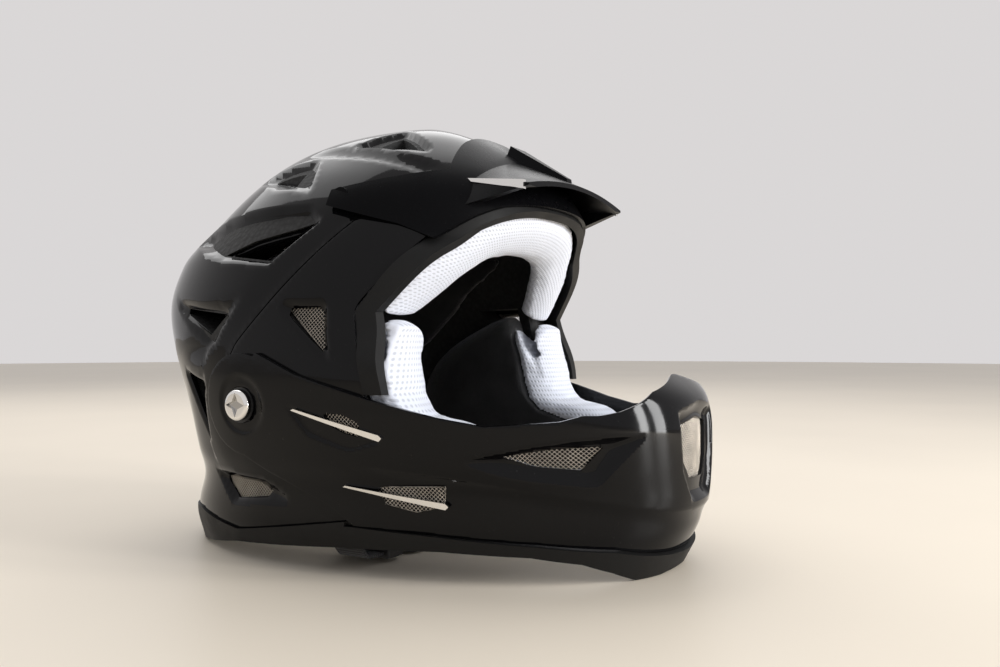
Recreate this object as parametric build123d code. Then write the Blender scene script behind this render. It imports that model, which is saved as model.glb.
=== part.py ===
from build123d import *
import math
import os

# Full face helmet for downhill cycling, modelled piece by piece.
#
# The wearer looks along -Y, their left is +X, and +Z is up. The helmet rests on
# the plane Z = 0, on the front of its chin rim and on its rear rim, and the origin
# is the centre of its bounding box on that plane. Lengths are in millimetres.
#
# The whole skin is one family of level rings: each ring is half a superellipse to
# the front and half an ellipse to the rear. skin(offset) grows or shrinks that
# family, so the shell, the liner, the pads and the chin guard nest in each other.
# Outlines seen from the side are shares of HALF_LENGTH and SHELL_HEIGHT.

# Driving dimensions of the shell
SHELL_WIDTH = 244.0
HELMET_LENGTH = 358.0
SHELL_HEIGHT = 256.0
SHELL_WALL = 3.0
HALF_WIDTH = SHELL_WIDTH / 2
HALF_LENGTH = HELMET_LENGTH / 2

# Clearances
SEAT_GAP = 0.2
SOFT_GAP = 0.3
RUN_GAP = 0.05
SHANK_GAP = 0.3
OVERRUN = 40.0

# Liner and pads, as thicknesses from the shell inwards
LINER_THICKNESS = 23.0
LINER_SETBACK = 14.0
CROWN_PAD_THICKNESS = 8.0
PAD_WRAP_THICKNESS = 12.0
CHEEK_PAD_THICKNESS = 31.0
BROW_PAD_HEIGHT = 30.0
BROW_ARCH_SHARE = 0.33
LINER_FOOT_SHARE = 0.205
SIDE_PAD_INNER_SHARE = 0.3
SIDE_PAD_MARGIN = 6.0
NECK_PAD_HALF_WIDTH_SHARE = 0.62
BROW_FOOT_SHARE = 0.55
BROW_LEAN_DEGREES = 50
BROW_STATIONS = 13
CROWN_SHARE = 0.22
EDGE_SHARE = 0.25
BISECTIONS = 40

# Chin guard and its fixing
CHIN_WALL = 2.8
CHIN_STAND_OFF = 0.25
CHIN_BOSS_RADIUS = 28.0
CHIN_LINER_THICKNESS = 16.0
CHIN_ARC_STEPS = 14
CHIN_ARC_START_DEGREES = 112
CHIN_ARC_END_DEGREES = -115
HUMP_REAR_SHARE = 0.73
SCREW_HEAD_RADIUS = 8.5
SCREW_HEAD_HEIGHT = 3.6
SCREW_SHANK_RADIUS = 3.0
SCREW_LENGTH = 15.0
STAR_POINTS = 4
STAR_DEPTH = 1.6
STAR_TIP_SHARE = 0.78
STAR_VALLEY_SHARE = 0.34
HEAD_ROUND_SHARE = 0.6
WASHER_RADIUS = 9.6
WASHER_THICKNESS = 0.8
INSERT_FLANGE_RADIUS = 9.0
INSERT_FLANGE_THICKNESS = 1.5
INSERT_BARREL_RADIUS = 4.6

# Visor
VISOR_WALL = 2.6
VISOR_STAND_OFF = 1.4
ROOF_HALF_WIDTH = 62.0
ROOF_FRONT_REACH = 105.0
ROOF_REAR_REACH = 62.0
ROOF_FRONT_HEIGHT = 212.5
ROOF_REAR_HEIGHT = 232.0
ROOF_EAVE_DROP = 6.5
ROOF_REAR_EAVE_DROP = 21.0
FLAP_DROP = 17.0
FLAP_SPREAD = 13.0
PIVOT_PIN_RADIUS = 2.5
PIVOT_HEAD_RADIUS = 6.0
PIVOT_HEAD_THICKNESS = 1.2
HOOD_HALF_WIDTH = 15.0
HOOD_LENGTH = 34.0
HOOD_RISE = 6.5
HOOD_WALL = 2.0
HOOD_TOP_SHARE = 0.6
HOOD_TIP_SHARE = 0.3
PIVOT_BOSS_RADIUS = 2.25 * PIVOT_PIN_RADIUS
PIVOT_BOSS_STAND_OFF = 0.6 * VISOR_STAND_OFF
PIVOT_PROUD = VISOR_STAND_OFF + 0.6 * VISOR_WALL

# Trims
TRIM_BAND = 10.0
TRIM_PROUD = 0.8
TRIM_DEPTH = 5.5
RIM_PROUD = 1.2
RIM_DEPTH = 6.0
TRIM_FOOT_SHARE = 0.376
RIM_END_SHARE = 1.05

# Grilles and bright blades
GRILLE_THICKNESS = 0.8
GRILLE_MARGIN = 2.5
BLADE_THICKNESS = 1.6
BLADE_HEIGHT = 3.2

# Chin strap
STRAP_WIDTH = 20.0
STRAP_THICKNESS = 1.8
RIVET_RADIUS = 4.0
RIVET_THICKNESS = 2.0
BUCKLE_LENGTH = 34.0
BUCKLE_WIDTH = 27.0
BUCKLE_THICKNESS = 7.0
PRONG_LENGTH = 16.0
PRONG_WIDTH = 6.0
BUCKLE_WALL = 1.2
BUCKLE_ROUND_SHARE = 0.6
BUCKLE_SLOT_SHARE = 0.15
socket_window_shares = (0.28, 0.52)
SLIDER_LENGTH = 14.0
SLIDER_WALL = 1.4
STRAP_SEAT_SHARE = 0.9
strap_anchor_share = (-0.045, 0.175)
BUCKLE_LEFT_SHARE = 0.07
BUCKLE_RIGHT_SHARE = -0.24
SLIDER_SHARE = -0.52

# Ring family: level, half width, front reach, widest point and rear reach
FRONT_POWER_LOW = 2.2
FRONT_POWER_HIGH = 2.4
REAR_POWER = 2.0
RING_POINTS = 20
level_shares = [-0.04, 0.0, 0.04, 0.095, 0.172, 0.234, 0.293, 0.352, 0.41, 0.461, 0.566,
                0.664, 0.762, 0.84, 0.906, 0.953, 0.984, 0.999]
width_shares = [0.795, 0.812, 0.84, 0.877, 0.889, 0.943, 0.974, 0.992, 1.0, 1.0, 0.979,
                0.932, 0.836, 0.717, 0.556, 0.385, 0.189, 0.03]
front_shares = [-0.83, -0.895, -0.925, -0.96, -0.98, -0.982, -0.98, -0.965, -0.88, -0.735, -0.553,
                -0.545, -0.516, -0.443, -0.337, -0.231, -0.12, -0.03]
centre_shares = [0.185, 0.188, 0.188, 0.193, 0.193, 0.193, 0.193, 0.195, 0.195, 0.195, 0.19,
                 0.18, 0.152, 0.123, 0.09, 0.055, 0.028, 0.0]
rear_shares = [0.863, 0.876, 0.888, 0.874, 0.83, 0.832, 0.843, 0.868, 0.912, 0.95, 1.0,
               0.953, 0.775, 0.653, 0.545, 0.415, 0.27, 0.03]
FRONT_POWER_LEVEL_SHARE = 0.4

# Outlines seen from the side, as shares of half length and shell height
eyeport_side_shares = [(-0.285, 0.34), (-0.272, 0.4), (-0.225, 0.54), (-0.297, 0.605),
                       (-0.354, 0.658), (-0.42, 0.715), (-0.49, 0.756), (-0.6, 0.82)]
chin_boss_share = (0.214, 0.348)
chin_upper_shares = [(0.15, 0.459), (0.0, 0.415), (-0.24, 0.367)]
chin_top_shares = [(-0.285, 0.36), (-0.43, 0.334), (-0.56, 0.318), (-0.74, 0.328), (-0.84, 0.35),
                   (-0.87, 0.45), (-1.1, 0.45)]
chin_bottom_shares = [(-1.1, 0.03), (-0.965, 0.038), (-0.84, 0.067), (-0.66, 0.083),
                      (-0.39, 0.097), (-0.145, 0.105)]
chin_lower_shares = [(-0.06, 0.145), (0.04, 0.172), (0.14, 0.203)]
hump_front_shares = [(1.1, 0.345), (0.56, 0.339), (0.41, 0.344), (0.32, 0.356), (0.27, 0.379), (0.115, 0.412)]
rim_bottom_shares = [(1.1, 0.03), (0.92, 0.004), (0.86, 0.0), (0.7, 0.0), (0.54, 0.014), (0.36, 0.034),
                     (0.09, 0.047), (-0.14, 0.059), (-0.4, 0.066), (-0.64, 0.06), (-0.76, 0.044),
                     (-0.82, 0.022), (-0.86, 0.0), (-0.9, 0.0), (-0.95, 0.014), (-1.1, 0.03)]
rear_trim_top_shares = [(1.1, 0.07), (0.9, 0.074), (0.6, 0.09), (0.34, 0.066), (0.11, 0.09), (-0.105, 0.113)]
cheek_crown_shares = [(0.0, 0.55), (0.14, 0.84), (0.4, 0.97), (0.7, 1.0), (1.9, 1.0)]
glasses_slot_shares = [(-0.073, 0.62), (-0.176, 0.62), (-0.251, 0.395)]
side_pad_shares = [(0.1, 0.62), (-0.08, 0.7), (0.2, 0.735), (0.55, 0.67), (0.74, 0.5), (0.6, 0.42),
                   (0.35, 0.46)]
neck_pad_shares = [(0.45, 0.22), (1.2, 0.22), (1.2, 0.4), (0.5, 0.4)]
chin_liner_shares = [(-1.1, 0.14), (-0.6, 0.14), (-0.6, 0.3), (-0.74, 0.315), (-1.1, 0.325)]
crown_pad_plan_shares = [(0.0, -0.34), (0.42, -0.2), (0.56, 0.2), (0.42, 0.42), (0.0, 0.55)]
cheek_pad_shares = [(-0.262, 0.52), (-0.272, 0.4), (-0.33, 0.335), (-0.5, 0.3), (-0.56, 0.24), (-0.45, 0.15),
                    (-0.1, 0.12), (0.25, 0.14), (0.33, 0.26), (0.26, 0.42), (0.05, 0.52), (-0.12, 0.555)]

# Vents through the side of the shell, seen from the side
upper_vent_shares = [(0.38, 0.672), (0.155, 0.652), (0.0, 0.735), (0.09, 0.72), (0.25, 0.7)]
middle_vent_shares = [(0.6, 0.56), (0.31, 0.54), (0.39, 0.495)]
lower_vent_shares = [(0.55, 0.41), (0.43, 0.387), (0.43, 0.266), (0.48, 0.32)]
side_window_shares = [(0.09, 0.563), (-0.083, 0.563), (-0.11, 0.43)]
rear_low_window_shares = [(0.46, 0.188), (0.355, 0.128), (0.09, 0.148), (0.2, 0.18)]
# Vents through the crown, seen from above, as shares of half width and half length
crown_vent_shares = [(0.5, -0.02), (0.34, -0.06), (0.47, -0.2), (0.51, -0.1)]
shoulder_vent_shares = [(0.6, 0.34), (0.63, 0.18), (0.71, 0.18), (0.76, 0.12)]
nape_vent_shares = [(0.1, 0.66), (0.3, 0.62), (0.22, 0.54), (0.1, 0.54)]
# Openings in the chin guard
chin_side_window_shares = [(-0.5, 0.25), (-0.72, 0.285), (-0.9, 0.295), (-0.81, 0.205), (-0.61, 0.225)]
chin_front_window_shares = [(0.0, 0.352), (0.2, 0.332), (0.19, 0.2), (0.1, 0.15), (0.0, 0.15)]
chin_upper_slot_shares = [(-0.02, 0.335), (-0.2, 0.32), (-0.22, 0.3), (-0.13, 0.308)]
chin_lower_slot_shares = [(-0.18, 0.175), (-0.42, 0.185), (-0.43, 0.165), (-0.3, 0.158)]
upper_blade_shares = [(0.0, 0.345), (-0.27, 0.292)]
lower_blade_shares = [(-0.13, 0.19), (-0.43, 0.158)]

# Visor outline seen from the side
visor_side_shares = [(-0.028, 0.765), (-0.028, 0.8), (-0.22, 0.827), (-0.33, 0.845), (-0.29, 0.92),
                     (-0.27, 0.97),
                     (-0.7, 0.97), (-0.7, 0.8), (-0.54, 0.785), (-0.47, 0.765), (-0.415, 0.735),
                     (-0.345, 0.692), (-0.25, 0.722)]
PIVOT_REACH_SHARE = -0.06
PIVOT_HEIGHT_SHARE = 0.782

# Offsets of the pieces from the skin, and the reach of the cutters
LINER_OUT = -(SHELL_WALL + SEAT_GAP)
LINER_IN = LINER_OUT - LINER_THICKNESS
COMFORT_OUT = LINER_IN - SOFT_GAP
CHIN_IN = CHIN_STAND_OFF
CHIN_OUT = CHIN_IN + CHIN_WALL
FAR = HALF_LENGTH + OVERRUN
DEEP = -OVERRUN


def monotone(xs, ys, x):
    """Value at x of a smooth curve through the stations that never overshoots them."""
    steps = [(ys[i + 1] - ys[i]) / (xs[i + 1] - xs[i]) for i in range(len(xs) - 1)]
    slopes = [steps[0]]
    for before, after in zip(steps, steps[1:]):
        slopes.append(2 * before * after / (before + after) if before * after > 0 else 0.0)
    slopes.append(steps[-1])
    i = max(k for k in range(len(steps)) if k == 0 or xs[k] <= x)
    span = xs[i + 1] - xs[i]
    t = (x - xs[i]) / span
    rise = ys[i + 1] - ys[i]
    return (ys[i] + span * slopes[i] * t + (3 * rise - span * (2 * slopes[i] + slopes[i + 1])) * t ** 2
            + (span * (slopes[i] + slopes[i + 1]) - 2 * rise) * t ** 3)


def growth(offset):
    """Scale factors along X, Y and Z that move the skin outwards by offset."""
    return (1 + offset / HALF_WIDTH, 1 + offset / HALF_LENGTH, 1 + offset / SHELL_HEIGHT)


def ring_values(level_share):
    """Half width, front reach, widest point and rear reach of the ring at a level."""
    tables = (width_shares, front_shares, centre_shares, rear_shares)
    return [monotone(level_shares, table, level_share) for table in tables]


def front_power(level_share):
    return FRONT_POWER_LOW if level_share < FRONT_POWER_LEVEL_SHARE else FRONT_POWER_HIGH


def ring_point(level_share, turn, offset=0.0):
    """Point of the skin at a level; turn runs from the wearer's left side over the rear."""
    width, front, centre, rear = ring_values(level_share)
    across, along = math.cos(turn), math.sin(turn)
    power = 2 / (REAR_POWER if along > 0 else front_power(level_share))
    reach = rear - centre if along > 0 else centre - front
    kx, ky, kz = growth(offset)
    x = width * HALF_WIDTH * math.copysign(abs(across) ** power, across)
    y = (centre + reach * math.copysign(abs(along) ** power, along)) * HALF_LENGTH
    return (x * kx, y * ky, level_share * SHELL_HEIGHT * kz)


def skin(offset=0.0):
    """Solid inside the ring family moved outwards by offset."""
    sections = []
    for share in level_shares:
        turns = [math.pi / 2 + 2 * math.pi * k / RING_POINTS for k in range(RING_POINTS)]
        points = [ring_point(share, turn, offset) for turn in turns]
        sections.append(Face(Wire([Edge.make_spline([Vector(*p) for p in points], periodic=True)])))
    return loft(sections)


def skin_x(y, z, offset=0.0):
    """Half width of the skin at a place seen from the side."""
    kx, ky, kz = growth(offset)
    share = z / kz / SHELL_HEIGHT
    width, front, centre, rear = ring_values(share)
    along = y / ky / HALF_LENGTH - centre
    power = REAR_POWER if along > 0 else front_power(share)
    reach = rear - centre if along > 0 else centre - front
    left = max(0.0, 1 - abs(along / reach) ** power)
    return width * HALF_WIDTH * kx * left ** (1 / power)


def side(share):
    """Place on the side view from a pair of shares."""
    return (share[0] * HALF_LENGTH, share[1] * SHELL_HEIGHT)


def side_prism(points, x_from=-HALF_WIDTH - OVERRUN, x_to=HALF_WIDTH + OVERRUN):
    """Solid whose outline, seen from the side, is the polygon of (y, z) points."""
    wire = Wire.make_polygon([Vector(x_from, y, z) for y, z in points], close=True)
    return extrude(Face(wire), amount=x_to - x_from, dir=(1, 0, 0))


def side_vent(shares, grow=0.0):
    """Prism of an outline in shares on the wearer's left, grown by a margin."""
    return side_prism(grown([side(s) for s in shares], grow), x_from=SHELL_WALL, x_to=HALF_WIDTH + OVERRUN)


def top_vent(shares, grow=0.0):
    """Prism through the crown of a plan outline in shares, on the wearer's left."""
    points = grown([(x * HALF_WIDTH, y * HALF_LENGTH) for x, y in shares], grow)
    wire = Wire.make_polygon([Vector(x, y, SHELL_HEIGHT / 2) for x, y in points], close=True)
    return extrude(Face(wire), amount=SHELL_HEIGHT, dir=(0, 0, 1))


def grown(points, margin):
    """Polygon with each corner moved away from the middle by margin."""
    if margin == 0:
        return points
    cy = sum(p[0] for p in points) / len(points)
    cz = sum(p[1] for p in points) / len(points)
    moved = []
    for y, z in points:
        far = math.hypot(y - cy, z - cz)
        moved.append((cy + (y - cy) * (far + margin) / far, cz + (z - cz) * (far + margin) / far))
    return moved


def offset_curve(points, distance):
    """Open curve moved to its right by distance, corner by corner."""
    moved = []
    for i, (y, z) in enumerate(points):
        before = points[max(i - 1, 0)]
        after = points[min(i + 1, len(points) - 1)]
        dy, dz = after[0] - before[0], after[1] - before[1]
        size = math.hypot(dy, dz)
        moved.append((y + dz / size * distance, z - dy / size * distance))
    return moved


def both(left):
    """The piece on the wearer's left and its mirror image on the right."""
    return left, mirror(left, about=Plane.YZ)


def one(shape):
    """The largest solid of a result, without slivers."""
    return max(shape.solids(), key=lambda s: s.volume)


def group(solids):
    return Compound(children=list(solids))


# The solids of the skin that the pieces share
skins = {}


def grown_skin(offset):
    if offset not in skins:
        skins[offset] = skin(offset)
    return skins[offset]


def layer(outer, inner):
    return grown_skin(outer) - grown_skin(inner)


eyeport_edge = [side(s) for s in eyeport_side_shares]


def front_of(curve):
    """Everything in front of the eye port's edge and, below it, of its lower end."""
    foot = curve[0]
    return side_prism([(foot[0], DEEP)] + curve + [(-FAR, curve[-1][1]), (-FAR, DEEP)])


shell_edge = offset_curve(eyeport_edge, TRIM_BAND + SEAT_GAP)
trim_edge = offset_curve(eyeport_edge, TRIM_BAND)
liner_edge = offset_curve(eyeport_edge, LINER_SETBACK)
below_rim = side_prism([side(s) for s in rim_bottom_shares] + [(-FAR, 3 * DEEP), (FAR, 3 * DEEP)])
rear_trim_top = [side(s) for s in rear_trim_top_shares]
rim_split = rear_trim_top[-1]
below_shell = side_prism(rear_trim_top + [(-FAR, rim_split[1]), (-FAR, 3 * DEEP), (FAR, 3 * DEEP)])
chin_bottom = [side(s) for s in chin_bottom_shares]
boss_y, boss_z = side(chin_boss_share)


def chin_profile():
    """Side outline of the chin guard: round end at the screw, then the bar to the front."""
    arc = []
    start, end = math.radians(CHIN_ARC_START_DEGREES), math.radians(CHIN_ARC_END_DEGREES)
    for k in range(CHIN_ARC_STEPS + 1):
        turn = start + (end - start) * k / CHIN_ARC_STEPS
        arc.append((boss_y + CHIN_BOSS_RADIUS * math.cos(turn), boss_z + CHIN_BOSS_RADIUS * math.sin(turn)))
    top = [side(s) for s in reversed(chin_top_shares)]
    upper = [side(s) for s in reversed(chin_upper_shares)]
    lower = [side(s) for s in reversed(chin_lower_shares)]
    return side_prism(top + upper + arc + lower + list(reversed(chin_bottom)))


def clip(prism, outer, inner):
    """The part of a prism between two skins."""
    return one((prism & grown_skin(outer)) - grown_skin(inner))


def rod(radius, x_from, x_to, y, z):
    """Round bar along X."""
    return extrude(Plane(origin=(x_from, y, z), z_dir=(1, 0, 0)) * Circle(radius), amount=x_to - x_from)


def save(name, shape):
    nodes[name] = shape
    export_step(shape, "parts/" + name + ".step")


def save_pair(name, left):
    """Writes a piece of the wearer's left side and its mirror image."""
    save(name + "_left", left)
    save(name + "_right", mirror(left, about=Plane.YZ))


def lowered(points, drop):
    return [(y, z - drop) for y, z in points]


nodes = {}
os.makedirs("parts", exist_ok=True)

# Places of the screws and pins
chin_face_x = skin_x(boss_y, boss_z, CHIN_OUT) - WASHER_THICKNESS
head_seat_x = chin_face_x + WASHER_THICKNESS + RUN_GAP
shell_inner_x = skin_x(boss_y, boss_z, -SHELL_WALL) - SEAT_GAP
strap_anchor = side(strap_anchor_share)
strap_floor = BUCKLE_THICKNESS / 2 + BUCKLE_WALL
buckle_left_x = BUCKLE_LEFT_SHARE * HALF_WIDTH
buckle_right_x = BUCKLE_RIGHT_SHARE * HALF_WIDTH
slider_x = SLIDER_SHARE * HALF_WIDTH
pivot_y = PIVOT_REACH_SHARE * HALF_LENGTH
pivot_z = PIVOT_HEIGHT_SHARE * SHELL_HEIGHT
pivot_inner_x = skin_x(pivot_y, pivot_z + PIVOT_HEAD_RADIUS, -SHELL_WALL) - SEAT_GAP

open_vents = [upper_vent_shares, middle_vent_shares, lower_vent_shares]
window_vents = [side_window_shares, rear_low_window_shares]
roof_vents = [crown_vent_shares, shoulder_vent_shares, nape_vent_shares]


# Outer shell with its vents
def make_shell():
    body = grown_skin(0.0) - front_of(shell_edge) - below_shell
    body = body - grown_skin(-SHELL_WALL)
    cutters = [side_vent(v) for v in open_vents + window_vents] + [top_vent(v) for v in roof_vents]
    cutters.append(rod(SCREW_SHANK_RADIUS + SHANK_GAP, 0, HALF_WIDTH + OVERRUN, boss_y, boss_z))
    cutters.append(rod(PIVOT_PIN_RADIUS + RUN_GAP, 0, HALF_WIDTH + OVERRUN, pivot_y, pivot_z))
    cutters.append(rod(RIVET_RADIUS / 2 + RUN_GAP, 0, HALF_WIDTH + OVERRUN, *strap_anchor))
    for cutter in cutters:
        body = body - cutter - mirror(cutter, about=Plane.YZ)
    return one(body)


def make_liner():
    """Foam liner behind the shell, with channels behind the vents and pockets for the hardware."""
    foot = LINER_FOOT_SHARE * SHELL_HEIGHT
    floor = side_prism([(FAR, foot), (-FAR, foot), (-FAR, 3 * DEEP), (FAR, 3 * DEEP)])
    body = grown_skin(LINER_OUT) - front_of(liner_edge) - floor
    body = body - grown_skin(LINER_IN)
    cutters = [side_vent(v) for v in open_vents]
    cutters += [side_vent(v, GRILLE_MARGIN + SEAT_GAP) for v in window_vents]
    cutters += [top_vent(v) for v in roof_vents]
    cutters.append(rod(INSERT_FLANGE_RADIUS + SEAT_GAP, shell_inner_x - INSERT_FLANGE_THICKNESS - SEAT_GAP,
                       HALF_WIDTH, boss_y, boss_z))
    cutters.append(rod(INSERT_BARREL_RADIUS + SEAT_GAP, head_seat_x - SCREW_LENGTH - SEAT_GAP,
                       HALF_WIDTH, boss_y, boss_z))
    cutters.append(rod(PIVOT_HEAD_RADIUS + SEAT_GAP, pivot_inner_x - PIVOT_HEAD_THICKNESS - SEAT_GAP,
                       HALF_WIDTH, pivot_y, pivot_z))
    for cutter in cutters:
        body = body - cutter - mirror(cutter, about=Plane.YZ)
    return one(body)


save("outer_shell", make_shell())
save("eps_liner", make_liner())


# Chin guard, its foam and its windows
def front_hump():
    """Everything above the chin guard's raised middle, seen from the front."""
    left = [(x * HALF_WIDTH, z * SHELL_HEIGHT) for x, z in hump_front_shares]
    right = [(-x, z) for x, z in reversed(left)]
    top = [(-HALF_WIDTH - OVERRUN, SHELL_HEIGHT), (HALF_WIDTH + OVERRUN, SHELL_HEIGHT)]
    wire = Wire.make_polygon([Vector(x, -FAR, z) for x, z in left + right + top], close=True)
    return extrude(Face(wire), amount=FAR - HUMP_REAR_SHARE * HALF_LENGTH, dir=(0, 1, 0))


def front_window(grow=0.0):
    """Prism of the window in the middle of the chin guard."""
    right = [(-x * HALF_WIDTH, z * SHELL_HEIGHT) for x, z in chin_front_window_shares[1:-1]]
    left = [(x * HALF_WIDTH, z * SHELL_HEIGHT) for x, z in chin_front_window_shares]
    points = grown(left + list(reversed(right)), grow)
    wire = Wire.make_polygon([Vector(x, -FAR, z) for x, z in points], close=True)
    return extrude(Face(wire), amount=FAR - HUMP_REAR_SHARE * HALF_LENGTH, dir=(0, 1, 0))


def make_chin_guard():
    body = (chin_profile() & grown_skin(CHIN_OUT)) - grown_skin(CHIN_IN)
    body = body - front_hump() - front_window()
    holes = [chin_side_window_shares, chin_upper_slot_shares, chin_lower_slot_shares]
    cutters = [side_vent(v) for v in holes]
    cutters.append(rod(SCREW_SHANK_RADIUS + SHANK_GAP, 0, HALF_WIDTH + OVERRUN, boss_y, boss_z))
    cutters.append(rod(WASHER_RADIUS + SHANK_GAP, chin_face_x, HALF_WIDTH + OVERRUN, boss_y, boss_z))
    for cutter in cutters:
        body = body - cutter - mirror(cutter, about=Plane.YZ)
    return one(body)


def make_chin_liner():
    outline = side_prism([side(s) for s in chin_liner_shares])
    body = (outline & grown_skin(CHIN_IN - SEAT_GAP)) - grown_skin(CHIN_IN - CHIN_LINER_THICKNESS)
    body = body - front_window(GRILLE_MARGIN + SEAT_GAP)
    window = side_vent(chin_side_window_shares, GRILLE_MARGIN + SEAT_GAP)
    left_half = side_prism([(FAR, DEEP), (-FAR, DEEP), (-FAR, FAR), (FAR, FAR)], x_from=SOFT_GAP)
    return one((body - window) & left_half)


save("chin_guard", make_chin_guard())
save_pair("chin_liner", make_chin_liner())

grille_out = CHIN_IN - SEAT_GAP
save("grille_chin_front", clip(front_window(GRILLE_MARGIN), grille_out, grille_out - GRILLE_THICKNESS))
save_pair("grille_chin_side", clip(side_vent(chin_side_window_shares, GRILLE_MARGIN),
                                   grille_out, grille_out - GRILLE_THICKNESS))
slot_out = CHIN_IN + 0.6 * CHIN_WALL
slots = {"grille_slot_upper": chin_upper_slot_shares, "grille_slot_lower": chin_lower_slot_shares}
for name, shares in slots.items():
    save_pair(name, clip(side_vent(shares, -2 * SEAT_GAP), slot_out, slot_out - GRILLE_THICKNESS))
window_out = -(SHELL_WALL + SEAT_GAP)
for name, shares in (("grille_side", side_window_shares), ("grille_rear", rear_low_window_shares)):
    save_pair(name, clip(side_vent(shares, GRILLE_MARGIN), window_out, window_out - GRILLE_THICKNESS))


# Bright blades under the slots of the chin guard
def blade(shares):
    """Thin tapered blade along a line of the side view, lying on the chin guard."""
    (y0, z0), (y1, z1) = [side(s) for s in shares]
    outline = [(y0, z0), (y1, z1 + BLADE_HEIGHT / 2), (y1 - BLADE_HEIGHT / 2, z1),
               (y1, z1 - BLADE_HEIGHT / 2), (y0 + BLADE_HEIGHT / 2, z0 - BLADE_HEIGHT / 4)]
    prism = side_prism(outline, x_from=SHELL_WALL)
    seat = CHIN_OUT + RUN_GAP
    return clip(prism, seat + BLADE_THICKNESS, seat)


save_pair("blade_upper", blade(upper_blade_shares))
save_pair("blade_lower", blade(lower_blade_shares))


# Rubber trims of the eye port and of the lower rim
def band(top, bottom):
    return side_prism(top + list(reversed(bottom)))


def between(curve, y_low, y_high):
    """Points of a curve strictly between two places along Y, in rising order."""
    return sorted(p for p in curve if y_low < p[0] < y_high)


def curve_z(curve, y):
    """Height of a polyline at a place along Y."""
    points = sorted(curve)
    for (y0, z0), (y1, z1) in zip(points, points[1:]):
        if y0 <= y <= y1:
            return z0 + (z1 - z0) * (y - y0) / (y1 - y0)
    raise ValueError("no point of the curve at %s" % y)


rim_bottom = [side(s) for s in rim_bottom_shares]
split_y = rim_split[0]
end_y = RIM_END_SHARE * HALF_LENGTH


def make_rear_rim():
    top = [(split_y, curve_z(rear_trim_top, split_y))] + between(rear_trim_top, split_y, end_y)
    top = lowered(top + [(end_y, curve_z(rear_trim_top, end_y))], SEAT_GAP)
    bottom = [(split_y, curve_z(rim_bottom, split_y))] + between(rim_bottom, split_y, end_y)
    bottom = bottom + [(end_y, curve_z(rim_bottom, end_y))]
    return clip(band(top, bottom), RIM_PROUD, -RIM_DEPTH)


def make_front_rim():
    near = split_y - SEAT_GAP
    top = [(-end_y, curve_z(chin_bottom, -end_y))] + between(chin_bottom, -end_y, near)
    top = lowered(top + [(near, chin_bottom[-1][1])], SEAT_GAP)
    bottom = [(-end_y, curve_z(rim_bottom, -end_y))] + between(rim_bottom, -end_y, near)
    bottom = bottom + [(near, curve_z(rim_bottom, near))]
    return clip(band(top, bottom), CHIN_OUT + TRIM_PROUD, -RIM_DEPTH / 2)


def make_eyeport_trim():
    foot = TRIM_FOOT_SHARE * SHELL_HEIGHT
    strip = band(eyeport_edge, trim_edge)
    strip = strip - side_prism([(FAR, foot), (-FAR, foot), (-FAR, 3 * DEEP), (FAR, 3 * DEEP)])
    return clip(strip, TRIM_PROUD, -TRIM_DEPTH)


save("rim_trim_rear", make_rear_rim())
save("rim_trim_front", make_front_rim())
save("eyeport_trim", make_eyeport_trim())


# Screws of the chin guard, with their washers and the threaded inserts in the foam
def make_star():
    """Recess of the screw's head: a star with rounded valleys, as a prism along X."""
    points = []
    for k in range(2 * STAR_POINTS):
        reach = SCREW_HEAD_RADIUS * (STAR_TIP_SHARE if k % 2 == 0 else STAR_VALLEY_SHARE)
        turn = math.pi * k / STAR_POINTS
        points.append((boss_y + reach * math.cos(turn), boss_z + reach * math.sin(turn)))
    face_x = head_seat_x + SCREW_HEAD_HEIGHT
    return side_prism(points, x_from=face_x - STAR_DEPTH, x_to=face_x + OVERRUN)


def make_screw():
    head = rod(SCREW_HEAD_RADIUS, head_seat_x, head_seat_x + SCREW_HEAD_HEIGHT, boss_y, boss_z)
    rim = head.edges().filter_by(GeomType.CIRCLE).sort_by(Axis.X)[-1]
    head = fillet(rim, SCREW_HEAD_HEIGHT * HEAD_ROUND_SHARE)
    shank = rod(SCREW_SHANK_RADIUS, head_seat_x - SCREW_LENGTH, head_seat_x, boss_y, boss_z)
    return one(head + shank - make_star())


def make_washer():
    return rod(WASHER_RADIUS, chin_face_x, chin_face_x + WASHER_THICKNESS, boss_y, boss_z) - rod(
        SCREW_SHANK_RADIUS + SHANK_GAP, 0, HALF_WIDTH + OVERRUN, boss_y, boss_z)


def make_insert():
    flange_x = shell_inner_x - INSERT_FLANGE_THICKNESS
    body = rod(INSERT_FLANGE_RADIUS, flange_x, shell_inner_x, boss_y, boss_z)
    body = body + rod(INSERT_BARREL_RADIUS, head_seat_x - SCREW_LENGTH, flange_x, boss_y, boss_z)
    body = body & grown_skin(-SHELL_WALL - RUN_GAP)
    return one(body - rod(SCREW_SHANK_RADIUS + RUN_GAP, 0, HALF_WIDTH + OVERRUN, boss_y, boss_z))


save_pair("chin_screw", make_screw())
save("chin_washers", group(both(one(make_washer()))))
save("chin_inserts", group(both(make_insert())))


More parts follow.
